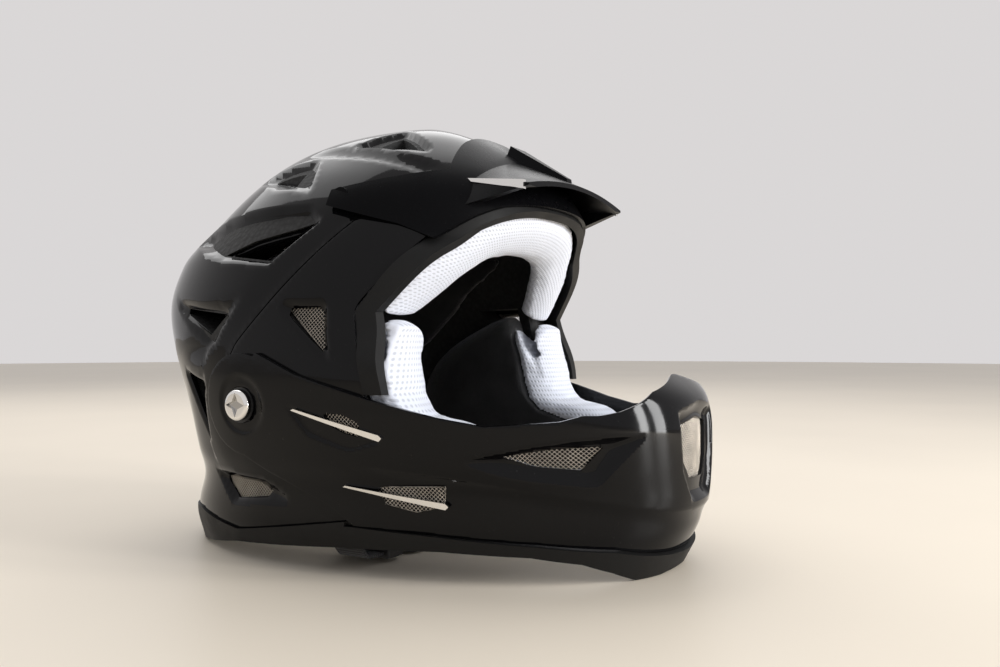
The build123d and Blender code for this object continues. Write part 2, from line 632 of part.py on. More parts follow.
# Visor: close-fitting sides and arms, and a roof that reaches forward
def roof_section(y, inset):
    """Closed outline of the roof at a place along Y, open downwards by its straight base."""
    t = (-y - ROOF_REAR_REACH) / (ROOF_FRONT_REACH - ROOF_REAR_REACH)
    crown = ROOF_REAR_HEIGHT + (ROOF_FRONT_HEIGHT - ROOF_REAR_HEIGHT) * t - inset
    eave = crown - (ROOF_REAR_EAVE_DROP + (ROOF_EAVE_DROP - ROOF_REAR_EAVE_DROP) * t)
    half = ROOF_HALF_WIDTH - inset
    drop = FLAP_DROP * (1 - t) + VISOR_WALL / 2 + 4 * inset
    foot = half + FLAP_SPREAD * (1 - t) + inset * FLAP_SPREAD / FLAP_DROP
    arc = Edge.make_three_point_arc(Vector(-half, y, eave), Vector(0, y, crown), Vector(half, y, eave))
    right = Edge.make_line(Vector(half, y, eave), Vector(foot, y, eave - drop))
    base = Edge.make_line(Vector(foot, y, eave - drop), Vector(-foot, y, eave - drop))
    left = Edge.make_line(Vector(-foot, y, eave - drop), Vector(-half, y, eave))
    return Face(Wire([arc, right, base, left]))


def roof_block(inset, overlap):
    rear, front = -ROOF_REAR_REACH + overlap, -ROOF_FRONT_REACH - overlap
    return loft([roof_section(rear, inset), roof_section(front, inset)], ruled=True)


def make_visor():
    outline = side_prism([side(s) for s in visor_side_shares])
    close = clip(outline, VISOR_STAND_OFF + VISOR_WALL, VISOR_STAND_OFF)
    roof = roof_block(0.0, 0.0) - roof_block(VISOR_WALL, VISOR_WALL) - grown_skin(VISOR_STAND_OFF)
    body = close + one(roof)
    boss_x = skin_x(pivot_y, pivot_z, VISOR_STAND_OFF + VISOR_WALL / 2)
    boss = rod(PIVOT_BOSS_RADIUS, 0, boss_x, pivot_y, pivot_z)
    boss = boss - grown_skin(PIVOT_BOSS_STAND_OFF)
    hole_x = skin_x(pivot_y, pivot_z, PIVOT_PROUD) + RUN_GAP
    hole = rod(PIVOT_PIN_RADIUS + RUN_GAP, 0, hole_x, pivot_y, pivot_z)
    body = body + boss + mirror(boss, about=Plane.YZ) - hole - mirror(hole, about=Plane.YZ)
    return one(body)


def make_hood(visor):
    """Scoop on the roof's middle, open to the rear."""
    rear_y = -ROOF_REAR_REACH - VISOR_WALL
    slope = (ROOF_REAR_HEIGHT - ROOF_FRONT_HEIGHT) / (ROOF_FRONT_REACH - ROOF_REAR_REACH)
    front_y = rear_y - HOOD_LENGTH
    front_z = ROOF_REAR_HEIGHT - slope * (HOOD_LENGTH + VISOR_WALL)

    def section(y, half, base, top, inset):
        half, top = half - inset, top - inset
        ledge = half * HOOD_TOP_SHARE
        points = [(-half, base), (-ledge, top), (ledge, top), (half, base)]
        return Face(Wire.make_polygon([Vector(x, y, z) for x, z in points], close=True))

    low = ROOF_REAR_HEIGHT - VISOR_WALL
    high = ROOF_REAR_HEIGHT + HOOD_RISE
    tip = HOOD_HALF_WIDTH * HOOD_TIP_SHARE
    rear = section(rear_y, HOOD_HALF_WIDTH, low, high, 0)
    front = section(front_y, tip, front_z - VISOR_WALL, front_z + HOOD_WALL, 0)
    outer = loft([rear, front], ruled=True)
    opening = section(rear_y + HOOD_WALL, HOOD_HALF_WIDTH, low - HOOD_WALL, high, HOOD_WALL)
    middle_y = front_y + HOOD_LENGTH / 2
    bottom = section(middle_y, tip + HOOD_WALL, front_z - VISOR_WALL, front_z + VISOR_WALL, HOOD_WALL)
    mouth = loft([opening, bottom], ruled=True)
    return one(outer - mouth - visor)


def make_pin():
    head = rod(PIVOT_HEAD_RADIUS, pivot_inner_x - PIVOT_HEAD_THICKNESS, pivot_inner_x, pivot_y, pivot_z)
    tip_x = skin_x(pivot_y, pivot_z, PIVOT_PROUD) - RUN_GAP
    shank = rod(PIVOT_PIN_RADIUS, pivot_inner_x, tip_x, pivot_y, pivot_z)
    return one(head + shank)


def make_visor_accent(visor):
    """Bright strip that lies along the eave of the roof."""
    rear = (-ROOF_REAR_REACH - 2 * BLADE_HEIGHT, ROOF_REAR_HEIGHT - ROOF_REAR_EAVE_DROP)
    front = (-ROOF_FRONT_REACH + VISOR_WALL, ROOF_FRONT_HEIGHT - ROOF_EAVE_DROP)
    strip = side_prism([(rear[0], rear[1] - BLADE_HEIGHT / 2), (rear[0], rear[1]),
                        (front[0], front[1] + BLADE_HEIGHT / 2), (front[0], front[1] - BLADE_HEIGHT)],
                       x_from=ROOF_HALF_WIDTH - VISOR_WALL / 2, x_to=ROOF_HALF_WIDTH + BLADE_THICKNESS)
    return one(strip - visor)


visor = make_visor()
save("visor", visor)
save("visor_hood", make_hood(visor))
save("visor_pivot_pins", group(both(make_pin())))
save_pair("visor_accent", make_visor_accent(visor))


# Pads
def cushion(outline, planes):
    """Crowned pad: its side outline shrinks from plane to plane along X."""
    cy = sum(p[0] for p in outline) / len(outline)
    cz = sum(p[1] for p in outline) / len(outline)
    sections = []
    for x, share in planes:
        points = [Vector(x, cy + (y - cy) * share, cz + (z - cz) * share) for y, z in outline]
        sections.append(Face(Wire([Edge.make_spline(points, periodic=True)])))
    return loft(sections)


def make_cheek_pad():
    outline = [side(s) for s in cheek_pad_shares]
    inner = HALF_WIDTH - SHELL_WALL - LINER_THICKNESS - CHEEK_PAD_THICKNESS
    planes = [(inner + CHEEK_PAD_THICKNESS * depth, share) for depth, share in cheek_crown_shares]
    body = cushion(outline, planes)
    wrap_edge = offset_curve(eyeport_edge, LINER_SETBACK - SOFT_GAP)
    front_part = (body & grown_skin(-SHELL_WALL - TRIM_DEPTH + SOFT_GAP)) & front_of(wrap_edge)
    pad = (body & grown_skin(COMFORT_OUT)) + front_part
    slot = side_prism([side(s) for s in glasses_slot_shares])
    return one(pad - slot)


def arch_point(turn, offset):
    """Point of the eye port's arch on a skin; turn runs from the right temple to the left."""
    rise = math.sin(turn)

    def along(z):
        for (y0, z0), (y1, z1) in zip(eyeport_edge, eyeport_edge[1:]):
            if z0 <= z <= z1:
                return y0 + (y1 - y0) * (z - z0) / (z1 - z0)
        return eyeport_edge[-1][0]

    low, high = BROW_FOOT_SHARE * SHELL_HEIGHT, eyeport_edge[-1][1]
    foot = low
    for _ in range(BISECTIONS):
        middle = (low + high) / 2
        low, high = (middle, high) if skin_x(along(middle), middle, offset) > 0 else (low, middle)
    z = foot + (low - foot) * rise
    x = skin_x(along(z), z, offset)
    return Vector(math.copysign(x, -math.cos(turn)), along(z), z)


def make_brow_pad():
    """Crowned pad along the arch of the eye port, as deep as the foam's set-back."""
    lean = math.radians(BROW_LEAN_DEGREES)
    back = Vector(0, math.cos(lean), math.sin(lean)) * PAD_WRAP_THICKNESS
    sections = []
    for k in range(BROW_STATIONS):
        turn = math.pi * k / (BROW_STATIONS - 1)
        outer = arch_point(turn, -TRIM_DEPTH - SOFT_GAP)
        height = BROW_PAD_HEIGHT * (1 + BROW_ARCH_SHARE * math.sin(turn))
        inner = arch_point(turn, -TRIM_DEPTH - height)
        inward = (inner - outer).normalized()
        bulge = back.normalized() * (-PAD_WRAP_THICKNESS * CROWN_SHARE)
        corners = [outer + back * EDGE_SHARE, inner + back * EDGE_SHARE, inner + back, outer + back]
        front = Edge.make_three_point_arc(corners[0], (corners[0] + corners[1]) * 0.5 + bulge, corners[1])
        fold = (corners[1] + corners[2]) * 0.5 + inward * (PAD_WRAP_THICKNESS * CROWN_SHARE)
        end = Edge.make_three_point_arc(corners[1], fold, corners[2])
        rear = Edge.make_line(corners[2], corners[3])
        edge = Edge.make_line(corners[3], corners[0])
        sections.append(Face(Wire([front, end, rear, edge])))
    return one(loft(sections) & grown_skin(-TRIM_DEPTH - SOFT_GAP))


def mirrored_shares(shares):
    """Right half of a plan outline in shares added to its left half."""
    return shares + [(-x, y) for x, y in reversed(shares) if x > 0]


def crown_prism(grow=0.0):
    """Upright prism of the crown pad's plan."""
    plan = grown([(x * HALF_WIDTH, y * HALF_LENGTH) for x, y in mirrored_shares(crown_pad_plan_shares)], grow)
    outline = Edge.make_spline([Vector(x, y, SHELL_HEIGHT / 2) for x, y in plan], periodic=True)
    return extrude(Face(Wire([outline])), amount=SHELL_HEIGHT, dir=(0, 0, 1))


def make_side_pad():
    """Pad of the temple, from the crown pad's edge downwards."""
    prism = side_prism([side(s) for s in side_pad_shares], x_from=SIDE_PAD_INNER_SHARE * HALF_WIDTH)
    return clip(prism - crown_prism(SIDE_PAD_MARGIN), COMFORT_OUT, COMFORT_OUT - CROWN_PAD_THICKNESS)


save_pair("cheek_pad", make_cheek_pad())
save("brow_pad", make_brow_pad())
save("crown_pad", clip(crown_prism(), COMFORT_OUT, COMFORT_OUT - CROWN_PAD_THICKNESS))
save_pair("side_pad", make_side_pad())
neck_half = NECK_PAD_HALF_WIDTH_SHARE * HALF_WIDTH
save("neck_pad", clip(side_prism([side(s) for s in neck_pad_shares], -neck_half, neck_half),
                      COMFORT_OUT, COMFORT_OUT - CROWN_PAD_THICKNESS))


# Chin strap: two webbing straps, riveted inside the shell, with an open side-release buckle
def webbing(path, thickness, width):
    """Flat strap along a path of (x, z) points, centred on the strap's anchor along Y."""
    upper, lower = offset_curve(path, thickness / 2), offset_curve(path, -thickness / 2)
    points = upper + list(reversed(lower))
    wire = Wire.make_polygon([Vector(x, strap_anchor[0] - width / 2, z) for x, z in points], close=True)
    return extrude(Face(wire), amount=width, dir=(0, 1, 0))


def strap_path(end_x):
    """Route of a strap from its rivet down the inside of the rim and across to its buckle."""
    return [(strap_x, strap_anchor[1] + 1.6 * RIVET_RADIUS), (strap_x, strap_anchor[1] - 2 * RIVET_RADIUS),
            (strap_x - STRAP_WIDTH * 0.4, strap_anchor[1] - STRAP_WIDTH * 0.8),
            (strap_x - STRAP_WIDTH * 0.6, STRAP_WIDTH * 0.7), (strap_x - STRAP_WIDTH * 1.1, strap_floor),
            (end_x, strap_floor)]


def block(x_from, x_to, width, height, y_shift=0.0):
    """Block centred on the strap's level."""
    centre = ((x_from + x_to) / 2, strap_anchor[0] + y_shift, strap_floor)
    return Plane(origin=centre) * Box(abs(x_to - x_from), width, height)


def strap_slot(x):
    """Slot of a buckle half that takes the strap's end."""
    reach = BUCKLE_LENGTH * BUCKLE_SLOT_SHARE
    return block(x - reach, x + reach, STRAP_WIDTH + 2 * SOFT_GAP, STRAP_THICKNESS + 2 * SOFT_GAP)


def make_socket():
    """Socket half of the buckle: a flat case, open towards the middle, with side windows."""
    x0, x1 = buckle_left_x, buckle_left_x + BUCKLE_LENGTH
    case = block(x0, x1, BUCKLE_WIDTH, BUCKLE_THICKNESS)
    case = fillet(case.edges().filter_by(Axis.Z), BUCKLE_THICKNESS * BUCKLE_ROUND_SHARE)
    height = BUCKLE_THICKNESS - 2 * BUCKLE_WALL
    room = block(x0 - BUCKLE_WALL, x1 - BUCKLE_LENGTH * BUCKLE_SLOT_SHARE - BUCKLE_WALL,
                 BUCKLE_WIDTH - 2 * BUCKLE_WALL, height)
    window = block(x0 + BUCKLE_LENGTH * socket_window_shares[0], x0 + BUCKLE_LENGTH * socket_window_shares[1],
                   2 * BUCKLE_WIDTH, height)
    return one(case - room - window - strap_slot(x1))


def make_plug():
    """Plug half of the buckle: a bar for the strap, two springy prongs and a guide."""
    x1 = buckle_right_x
    x0 = x1 - BUCKLE_LENGTH / 2
    base = block(x0, x1, BUCKLE_WIDTH, BUCKLE_THICKNESS)
    base = fillet(base.edges().filter_by(Axis.Z), BUCKLE_THICKNESS * BUCKLE_ROUND_SHARE) - strap_slot(x0)
    spread = BUCKLE_WIDTH / 2 - PRONG_WIDTH
    height = BUCKLE_THICKNESS - 3 * BUCKLE_WALL
    for shift, wide in ((-spread, PRONG_WIDTH), (0, PRONG_WIDTH / 2), (spread, PRONG_WIDTH)):
        base = base + block(x1 - BUCKLE_WALL, x1 + PRONG_LENGTH, wide, height, shift)
    return one(base)


def make_rivet():
    """Rivet through strap and shell, its tail flush below the chin guard's arm."""
    y, z = strap_anchor
    inside = strap_x - STRAP_THICKNESS / 2
    head = rod(RIVET_RADIUS, inside - RIVET_THICKNESS, inside, y, z)
    tail = rod(RIVET_RADIUS / 2, inside - RIVET_THICKNESS, skin_x(y, z) - RUN_GAP, y, z)
    return one(head + tail)


def make_slider():
    """Ladder-shaped adjuster on the right strap."""
    x0, x1 = slider_x - SLIDER_LENGTH / 2, slider_x + SLIDER_LENGTH / 2
    body = block(x0, x1, BUCKLE_WIDTH, STRAP_THICKNESS + 2 * SLIDER_WALL)
    body = fillet(body.edges().filter_by(Axis.Z), SLIDER_WALL)
    body = body - block(x0 - OVERRUN, x1 + OVERRUN, STRAP_WIDTH + 2 * RUN_GAP, STRAP_THICKNESS + 2 * RUN_GAP)
    for middle in (slider_x - SLIDER_LENGTH / 4, slider_x + SLIDER_LENGTH / 4):
        body = body - block(middle - SLIDER_WALL, middle + SLIDER_WALL, STRAP_WIDTH, BUCKLE_THICKNESS)
    return one(body)


def make_strap(end_x):
    strap = webbing(strap_path(end_x), STRAP_THICKNESS, STRAP_WIDTH)
    hole = rod(RIVET_RADIUS / 2 + RUN_GAP, 0, HALF_WIDTH, *strap_anchor)
    return one((strap & grown_skin(-SHELL_WALL - RUN_GAP)) - hole)


strap_x = skin_x(*strap_anchor, -SHELL_WALL) - STRAP_SEAT_SHARE * STRAP_THICKNESS
left_end = buckle_left_x + BUCKLE_LENGTH * (1 - BUCKLE_SLOT_SHARE) + SOFT_GAP
right_end = -(buckle_right_x - BUCKLE_LENGTH / 2 + BUCKLE_LENGTH * BUCKLE_SLOT_SHARE - SOFT_GAP)
save("strap_left", make_strap(left_end))
save("strap_right", mirror(make_strap(right_end), about=Plane.YZ))
save("strap_rivets", group(both(make_rivet())))
save("strap_slider", make_slider())
save("buckle_socket", make_socket())
save("buckle_plug", make_plug())

for name in sorted(nodes):
    print(name, len(nodes[name].solids()), round(nodes[name].volume))
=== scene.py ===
import math

import bpy
import numpy as np
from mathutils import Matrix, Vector


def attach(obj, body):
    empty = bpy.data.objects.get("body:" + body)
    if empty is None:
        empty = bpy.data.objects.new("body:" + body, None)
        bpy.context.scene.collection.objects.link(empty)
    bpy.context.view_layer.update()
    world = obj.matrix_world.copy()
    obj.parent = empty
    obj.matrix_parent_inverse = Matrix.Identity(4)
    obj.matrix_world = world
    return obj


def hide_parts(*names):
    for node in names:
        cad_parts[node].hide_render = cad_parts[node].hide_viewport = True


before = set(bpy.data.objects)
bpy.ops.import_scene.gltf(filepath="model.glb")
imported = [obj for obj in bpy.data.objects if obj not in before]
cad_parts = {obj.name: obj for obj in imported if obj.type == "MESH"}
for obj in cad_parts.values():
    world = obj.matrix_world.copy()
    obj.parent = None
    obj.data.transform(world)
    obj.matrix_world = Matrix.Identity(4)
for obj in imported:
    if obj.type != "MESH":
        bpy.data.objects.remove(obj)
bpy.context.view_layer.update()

bl_info = {
    "name": "Full Face Helmet",
    "version": (1, 0, 0),
    "blender": (4, 5, 0),
    "location": "3D View > Sidebar > Helmet",
    "description": "Dresses the packed helmet in lacquer, wire mesh and padding, and sets the stage",
    "category": "Object",
}

# Sizes of the skin and of the moulded walls, in metres, as in the part's source
HALF_WIDTH = 0.122
HALF_LENGTH = 0.179
SHELL_HEIGHT = 0.256
SHELL_WALL = 0.003
CHIN_OUT = 0.00305
CHIN_WALL = 0.0028
EYEPORT_MARGIN = 0.0103
MILLIMETRE = 0.001

# Distance of the screws' star floor from the middle plane, a point that the shell faces away from,
# and the two sides with the sign of their x
STAR_FLOOR = 0.12514
helmet_middle = (0.0, 0.02, 0.1)
hands = (("left", 1), ("right", -1))

# Widths and depths of the moulded forms, and the levels above which the top view's outlines hold
EDGE_ROUND = 0.0005
PLATE_GAP = 0.00055
PLATE_RISE = 0.0009
FACET_WIDTH = 0.0026
PLATE_LIP = 0.001
PLATE_FADE = 0.02
RIDGE_WIDTH = 0.0078
RIDGE_FALL = 0.0025
RIDGE_FLAT = 0.01
RIDGE_FADE = 0.022
STEP_WIDTH = 0.003
STEP_FADE = 0.03
SHOULDER_WALL = 0.011
MIDDLE_WALL = 0.01
BELT_DEPTH = 0.0021
BELT_WIDTH = 0.009
BELT_START = -0.02
BELT_FADE = 0.04
BOSS_RISE = 0.0009
BOSS_REACH = 0.0165
BOSS_EDGE = 0.002
TOP_START = 0.12
TOP_FADE = 0.03
RIDGE_START = 0.15

# Moulding grids: how many cells, the size that a cell counts as, and the level shares that they reach
DOME_CELLS = 232
CHIN_COLUMNS, CHIN_ROWS = 860, 92
DOME_CELL = 0.004
CHIN_CELL = 0.003
LOWEST_LEVEL = 0.02
CHIN_TOP_LEVEL = 0.475

# Pull of a grid onto a line: how far apart the two ends of a crossing edge may lie and how far a point
# may move, in cells, and the least slope that a step is reckoned with
CROSSING_CELLS = 2.5
PULL_CELLS = 0.9
LEAST_SLOPE = 0.05

# Small step, tolerances, a distance that counts as far off an outline, and in degrees the angles
# from which an edge is rounded and stays sharp in the shading
NUDGE = 1e-4
ON_LINE = 0.00006
WELD = 0.00002
CUT_CLOSE = 1e-6
FAR = 0.05
EDGE_ANGLE = 62
SMOOTH_ANGLE = 60

# Name of the UV map that cloth and webbing are woven on
WEAVE = "Weave"

# Ring family of the skin, from the crown down: level, half width, front, widest point, rear
ring_levels = [1.0, 0.999, 0.984, 0.953, 0.906, 0.84, 0.762, 0.664, 0.566, 0.461, 0.41, 0.352, 0.293,
               0.234, 0.172, 0.095, 0.04, 0.0, -0.04]
ring_widths = [0.0, 0.03, 0.189, 0.385, 0.556, 0.717, 0.836, 0.932, 0.979, 1.0, 1.0, 0.992, 0.974,
               0.943, 0.889, 0.877, 0.84, 0.812, 0.795]
ring_fronts = [0.0, -0.03, -0.12, -0.231, -0.337, -0.443, -0.516, -0.545, -0.553, -0.735, -0.88, -0.965,
               -0.98, -0.982, -0.98, -0.96, -0.925, -0.895, -0.83]
ring_centres = [0.0, 0.0, 0.028, 0.055, 0.09, 0.123, 0.152, 0.18, 0.19, 0.195, 0.195, 0.195, 0.193,
                0.193, 0.193, 0.193, 0.188, 0.188, 0.185]
ring_rears = [0.0, 0.03, 0.27, 0.415, 0.545, 0.653, 0.775, 0.953, 1.0, 0.95, 0.912, 0.868, 0.843,
              0.832, 0.83, 0.874, 0.888, 0.876, 0.863]
ring_powers = [2.4] * 11 + [2.2] * 8
ring_tables = (ring_levels, ring_widths, ring_fronts, ring_centres, ring_rears, ring_powers)
rising_tables = [list(reversed(table)) for table in ring_tables]

# Outlines in millimetres: seen from the side as (y, z), from above as (x, y), from the front as (x, z)
eyeport_edge = [(-51.0, 87.0), (-48.7, 102.4), (-40.3, 138.2), (-53.2, 154.9), (-63.4, 168.4),
                (-75.2, 183.0), (-87.7, 193.5), (-107.4, 209.9)]
rear_foot = [(196.9, 17.9), (161.1, 18.9), (107.4, 23.0), (60.9, 16.9), (19.7, 23.0), (-18.8, 28.9)]
side_vents = {
    "upper": [(68.0, 172.0), (27.7, 166.9), (0.0, 188.2), (16.1, 184.3), (44.8, 179.2)],
    "middle": [(107.4, 143.4), (55.5, 138.2), (69.8, 126.7)],
    "lower": [(98.5, 105.0), (77.0, 99.1), (77.0, 68.1), (85.9, 81.9)],
    "window": [(12.0, 141.0), (-12.0, 141.5), (-15.5, 117.0)],
    "low_window": [(74.0, 46.0), (60.0, 34.5), (28.0, 38.5), (40.0, 44.5)],
}
side_scoops = {
    "middle": [(122.0, 151.0), (50.0, 142.5), (63.0, 118.0), (84.0, 126.0)],
    "window": [(16.1, 144.1), (-14.9, 144.1), (-19.7, 110.1)],
    "low_window": [(82.3, 50.0), (63.5, 31.5), (12.0, 36.5), (35.8, 48.5)],
}
top_vents = {
    "crown": [(61.0, -3.6), (41.5, -10.7), (57.3, -35.8), (62.2, -17.9)],
    "shoulder": [(73.2, 60.9), (76.9, 32.2), (86.6, 32.2), (92.7, 21.5)],
    "nape": [(12.2, 118.0), (36.6, 111.0), (26.8, 96.7), (12.2, 96.7)],
}
top_scoops = {
    "crown": [(63.5, 12.0), (34.0, -8.0), (56.0, -44.0), (64.5, -20.0)],
    "shoulder": [(66.0, 80.0), (72.0, 26.0), (97.0, 12.0), (90.0, 48.0)],
    "nape": [(8.0, 126.0), (42.0, 116.0), (30.0, 88.0), (8.0, 88.0)],
}


# Numbers of the skin
def smooth_table(stations, values, at):
    """Smooth curve through the stations that never overshoots them."""
    xs, ys = np.array(stations), np.array(values)
    spans = np.diff(xs)
    steps = np.diff(ys) / spans
    slopes = np.empty(len(xs))
    slopes[0], slopes[-1] = steps[0], steps[-1]
    product, total = steps[:-1] * steps[1:], steps[:-1] + steps[1:]
    slopes[1:-1] = np.where(product > 0, 2 * product / np.where(product > 0, total, 1.0), 0.0)
    i = np.clip(np.searchsorted(xs, at, side="right") - 1, 0, len(spans) - 1)
    t = (at - xs[i]) / spans[i]
    rise = ys[i + 1] - ys[i]
    a, b, h = slopes[i], slopes[i + 1], spans[i]
    return ys[i] + h * a * t + (3 * rise - h * (2 * a + b)) * t ** 2 + (h * (a + b) - 2 * rise) * t ** 3


drops = np.hypot(np.diff(np.array(ring_widths) * HALF_WIDTH), np.diff(np.array(ring_levels) * SHELL_HEIGHT))
ring_reach = np.concatenate([[0.0], np.cumsum(drops)])


def reach_of_level(level):
    """Distance down the skin's profile from the crown to a level share."""
    return float(np.interp(-level, [-v for v in ring_levels], ring_reach))


def skin_point(turn, reach, offset):
    """Places on the skin grown by offset, from the turn about Z and the distance down from the crown."""
    level, width, front, centre, rear, power = [
        smooth_table(ring_reach, table, reach) for table in ring_tables]
    across, along = np.cos(turn), np.sin(turn)
    behind = along > 0
    shape = 2 / np.where(behind, 2.0, power)
    spread = np.where(behind, rear - centre, centre - front)
    x = width * HALF_WIDTH * np.sign(across) * np.abs(across) ** shape
    y = (centre + spread * np.sign(along) * np.abs(along) ** shape) * HALF_LENGTH
    return np.stack([x * (1 + offset / HALF_WIDTH), y * (1 + offset / HALF_LENGTH),
                     level * SHELL_HEIGHT * (1 + offset / SHELL_HEIGHT)], axis=-1)


def skin_x(y, z, offset=0.0):
    """Half width of the skin at places seen from the side."""
    share = z / (1 + offset / SHELL_HEIGHT) / SHELL_HEIGHT
    levels, *tables = rising_tables
    width, front, centre, rear, power = [smooth_table(levels, table, share) for table in tables]
    along = y / (1 + offset / HALF_LENGTH) / HALF_LENGTH - centre
    power = np.where(along > 0, 2.0, power)
    reach = np.where(along > 0, rear - centre, centre - front)
    left = np.clip(1 - np.abs(along / reach) ** power, 0, None)
    return width * HALF_WIDTH * (1 + offset / HALF_WIDTH) * left ** (1 / power)


def outline_distance(points, outline):
    """Signed distance of 2D points from a closed outline in millimetres, negative inside; in metres."""
    corners = np.array(outline) * MILLIMETRE
    best = np.full(len(points), np.inf)
    inside = np.zeros(len(points), bool)
    px, py = points[:, 0], points[:, 1]
    for (ax, ay), (bx, by) in zip(corners, np.roll(corners, -1, axis=0)):
        ex, ey = bx - ax, by - ay
        t = np.clip(((px - ax) * ex + (py - ay) * ey) / (ex * ex + ey * ey), 0, 1)
        best = np.minimum(best, np.hypot(px - ax - t * ex, py - ay - t * ey))
        crossing = (ay > py) != (by > py)
        inside ^= crossing & (px < ax + ex * (py - ay) / (ey if ey else 1.0))
    return np.where(inside, -best, best)


def line_distance(points, line):
    """Distance of 2D points from an open line in millimetres, and the side: positive on its left."""
    corners = np.array(line) * MILLIMETRE
    best = np.full(len(points), np.inf)
    side = np.zeros(len(points))
    px, py = points[:, 0], points[:, 1]
    for (ax, ay), (bx, by) in zip(corners[:-1], corners[1:]):
        ex, ey = bx - ax, by - ay
        t = np.clip(((px - ax) * ex + (py - ay) * ey) / (ex * ex + ey * ey), 0, 1)
        far = np.hypot(px - ax - t * ex, py - ay - t * ey)
        nearer = far < best
        best = np.where(nearer, far, best)
        side = np.where(nearer, np.sign(ex * (py - ay) - ey * (px - ax)), side)
    return best, side


def ease(value):
    """Smooth step from 0 to 1."""
    t = np.clip(value, 0, 1)
    return t * t * (3 - 2 * t)


def side_view(p):
    return np.stack([p[:, 1], p[:, 2]], axis=-1)


def top_view(p):
    return np.stack([np.abs(p[:, 0]), p[:, 1]], axis=-1)


def front_view(p):
    return np.stack([np.abs(p[:, 0]), p[:, 2]], axis=-1)


# Mesh helpers
def deselect_all():
    if bpy.context.object and bpy.context.object.mode != "OBJECT":
        bpy.ops.object.mode_set(mode="OBJECT")
    bpy.ops.object.select_all(action="DESELECT")


def choose(piece):
    """Makes a piece the only selected object and the active one."""
    deselect_all()
    piece.select_set(True)
    bpy.context.view_layer.objects.active = piece
    return piece


def mesh_object(name, vertices, faces):
    mesh = bpy.data.meshes.new(name)
    mesh.from_pydata([tuple(v) for v in vertices], [], [tuple(f) for f in faces])
    mesh.update()
    piece = bpy.data.objects.new(name, mesh)
    bpy.context.scene.collection.objects.link(piece)
    return choose(piece)


def vertex_places(piece):
    return np.array([v.co[:] for v in piece.data.vertices])


def place_vertices(piece, places):
    for vertex, place in zip(piece.data.vertices, places):
        vertex.co = place
    piece.data.update()


def finish_modifier(piece, kind, **settings):
    """Adds a modifier with its settings and applies it."""
    choose(piece)
    modifier = piece.modifiers.new(kind.title(), kind)
    for key, value in settings.items():
        setattr(modifier, key, value)
    bpy.ops.object.modifier_apply(modifier=modifier.name)


def smooth(piece):
    choose(piece)
    bpy.ops.object.shade_smooth()


def smooth_by_angle(piece, degrees):
    choose(piece)
    bpy.ops.object.shade_smooth_by_angle(angle=math.radians(degrees))


def turn_out(piece, weld=0.0):
    """Points the faces outwards, after merging the points that lie within weld of each other."""
    choose(piece)
    bpy.ops.object.mode_set(mode="EDIT")
    bpy.ops.mesh.select_all(action="SELECT")
    if weld:
        bpy.ops.mesh.remove_doubles(threshold=weld)
    bpy.ops.mesh.normals_make_consistent(inside=False)
    bpy.ops.object.mode_set(mode="OBJECT")


def grid_faces(rows, columns, closed):
    """Quads of a grid whose points are stored row by row; closed joins the last column to the first."""
    faces = []
    spans = columns if closed else columns - 1
    for r in range(rows - 1):
        for c in range(spans):
            d = (c + 1) % columns
            faces.append((r * columns + c, r * columns + d, (r + 1) * columns + d, (r + 1) * columns + c))
    return faces


def pull_onto(u, v, edges, place, distance, free, cell):
    """Moves grid points onto the zero line of a distance, wherever an edge of the grid crosses it."""
    def gap(a, b):
        return distance(place(a, b))

    def metric(ahead, back):
        return np.linalg.norm(ahead - back, axis=1) / (2 * NUDGE) + 1e-9

    for _ in range(6):
        d = gap(u, v)
        d[np.abs(d) < WELD] = 0.0
        first, second = edges[:, 0], edges[:, 1]
        crossed = (d[first] * d[second] < 0) & (np.abs(d[first]) + np.abs(d[second]) < CROSSING_CELLS * cell)
        ends = edges[crossed & (free[first] | free[second])]
        if not len(ends):
            break
        nearer = np.where(np.abs(d[ends[:, 0]]) < np.abs(d[ends[:, 1]]), ends[:, 0], ends[:, 1])
        other = np.where(nearer == ends[:, 0], ends[:, 1], ends[:, 0])
        near = np.unique(np.where(free[nearer], nearer, other))
        near = near[np.abs(d[near]) < PULL_CELLS * cell]
        if not len(near):
            break
        un, vn = u[near], v[near]
        for _ in range(3):
            gu = (gap(un + NUDGE, vn) - gap(un - NUDGE, vn)) / (2 * NUDGE)
            gv = (gap(un, vn + NUDGE) - gap(un, vn - NUDGE)) / (2 * NUDGE)
            metric_u = metric(place(un + NUDGE, vn), place(un - NUDGE, vn))
            metric_v = metric(place(un, vn + NUDGE), place(un, vn - NUDGE))
            size = (gu / metric_u) ** 2 + (gv / metric_v) ** 2
            pull = np.clip(gap(un, vn) / np.maximum(size, LEAST_SLOPE), -cell, cell)
            un = un - pull * gu / metric_u ** 2
            vn = vn - pull * gv / metric_v ** 2
        u[near], v[near] = un, vn


def split_on_folds(corners, folds):
    """Quads as a list, with each one that a fold crosses from corner to corner split along it."""
    first, second = np.zeros(len(corners), bool), np.zeros(len(corners), bool)
    for fold in folds:
        a, b, c, e = [fold[corners[:, k]] for k in range(4)]
        first |= (a == 0) & (c == 0) & (b * e < 0)
        second |= (b == 0) & (e == 0) & (a * c < 0)
    faces = []
    for (a, b, c, e), one, two in zip(corners.tolist(), first, second):
        if one:
            faces += [(a, b, c), (a, c, e)]
        elif two:
            faces += [(a, b, e), (b, c, e)]
        else:
            faces.append((a, b, c, e))
    return faces


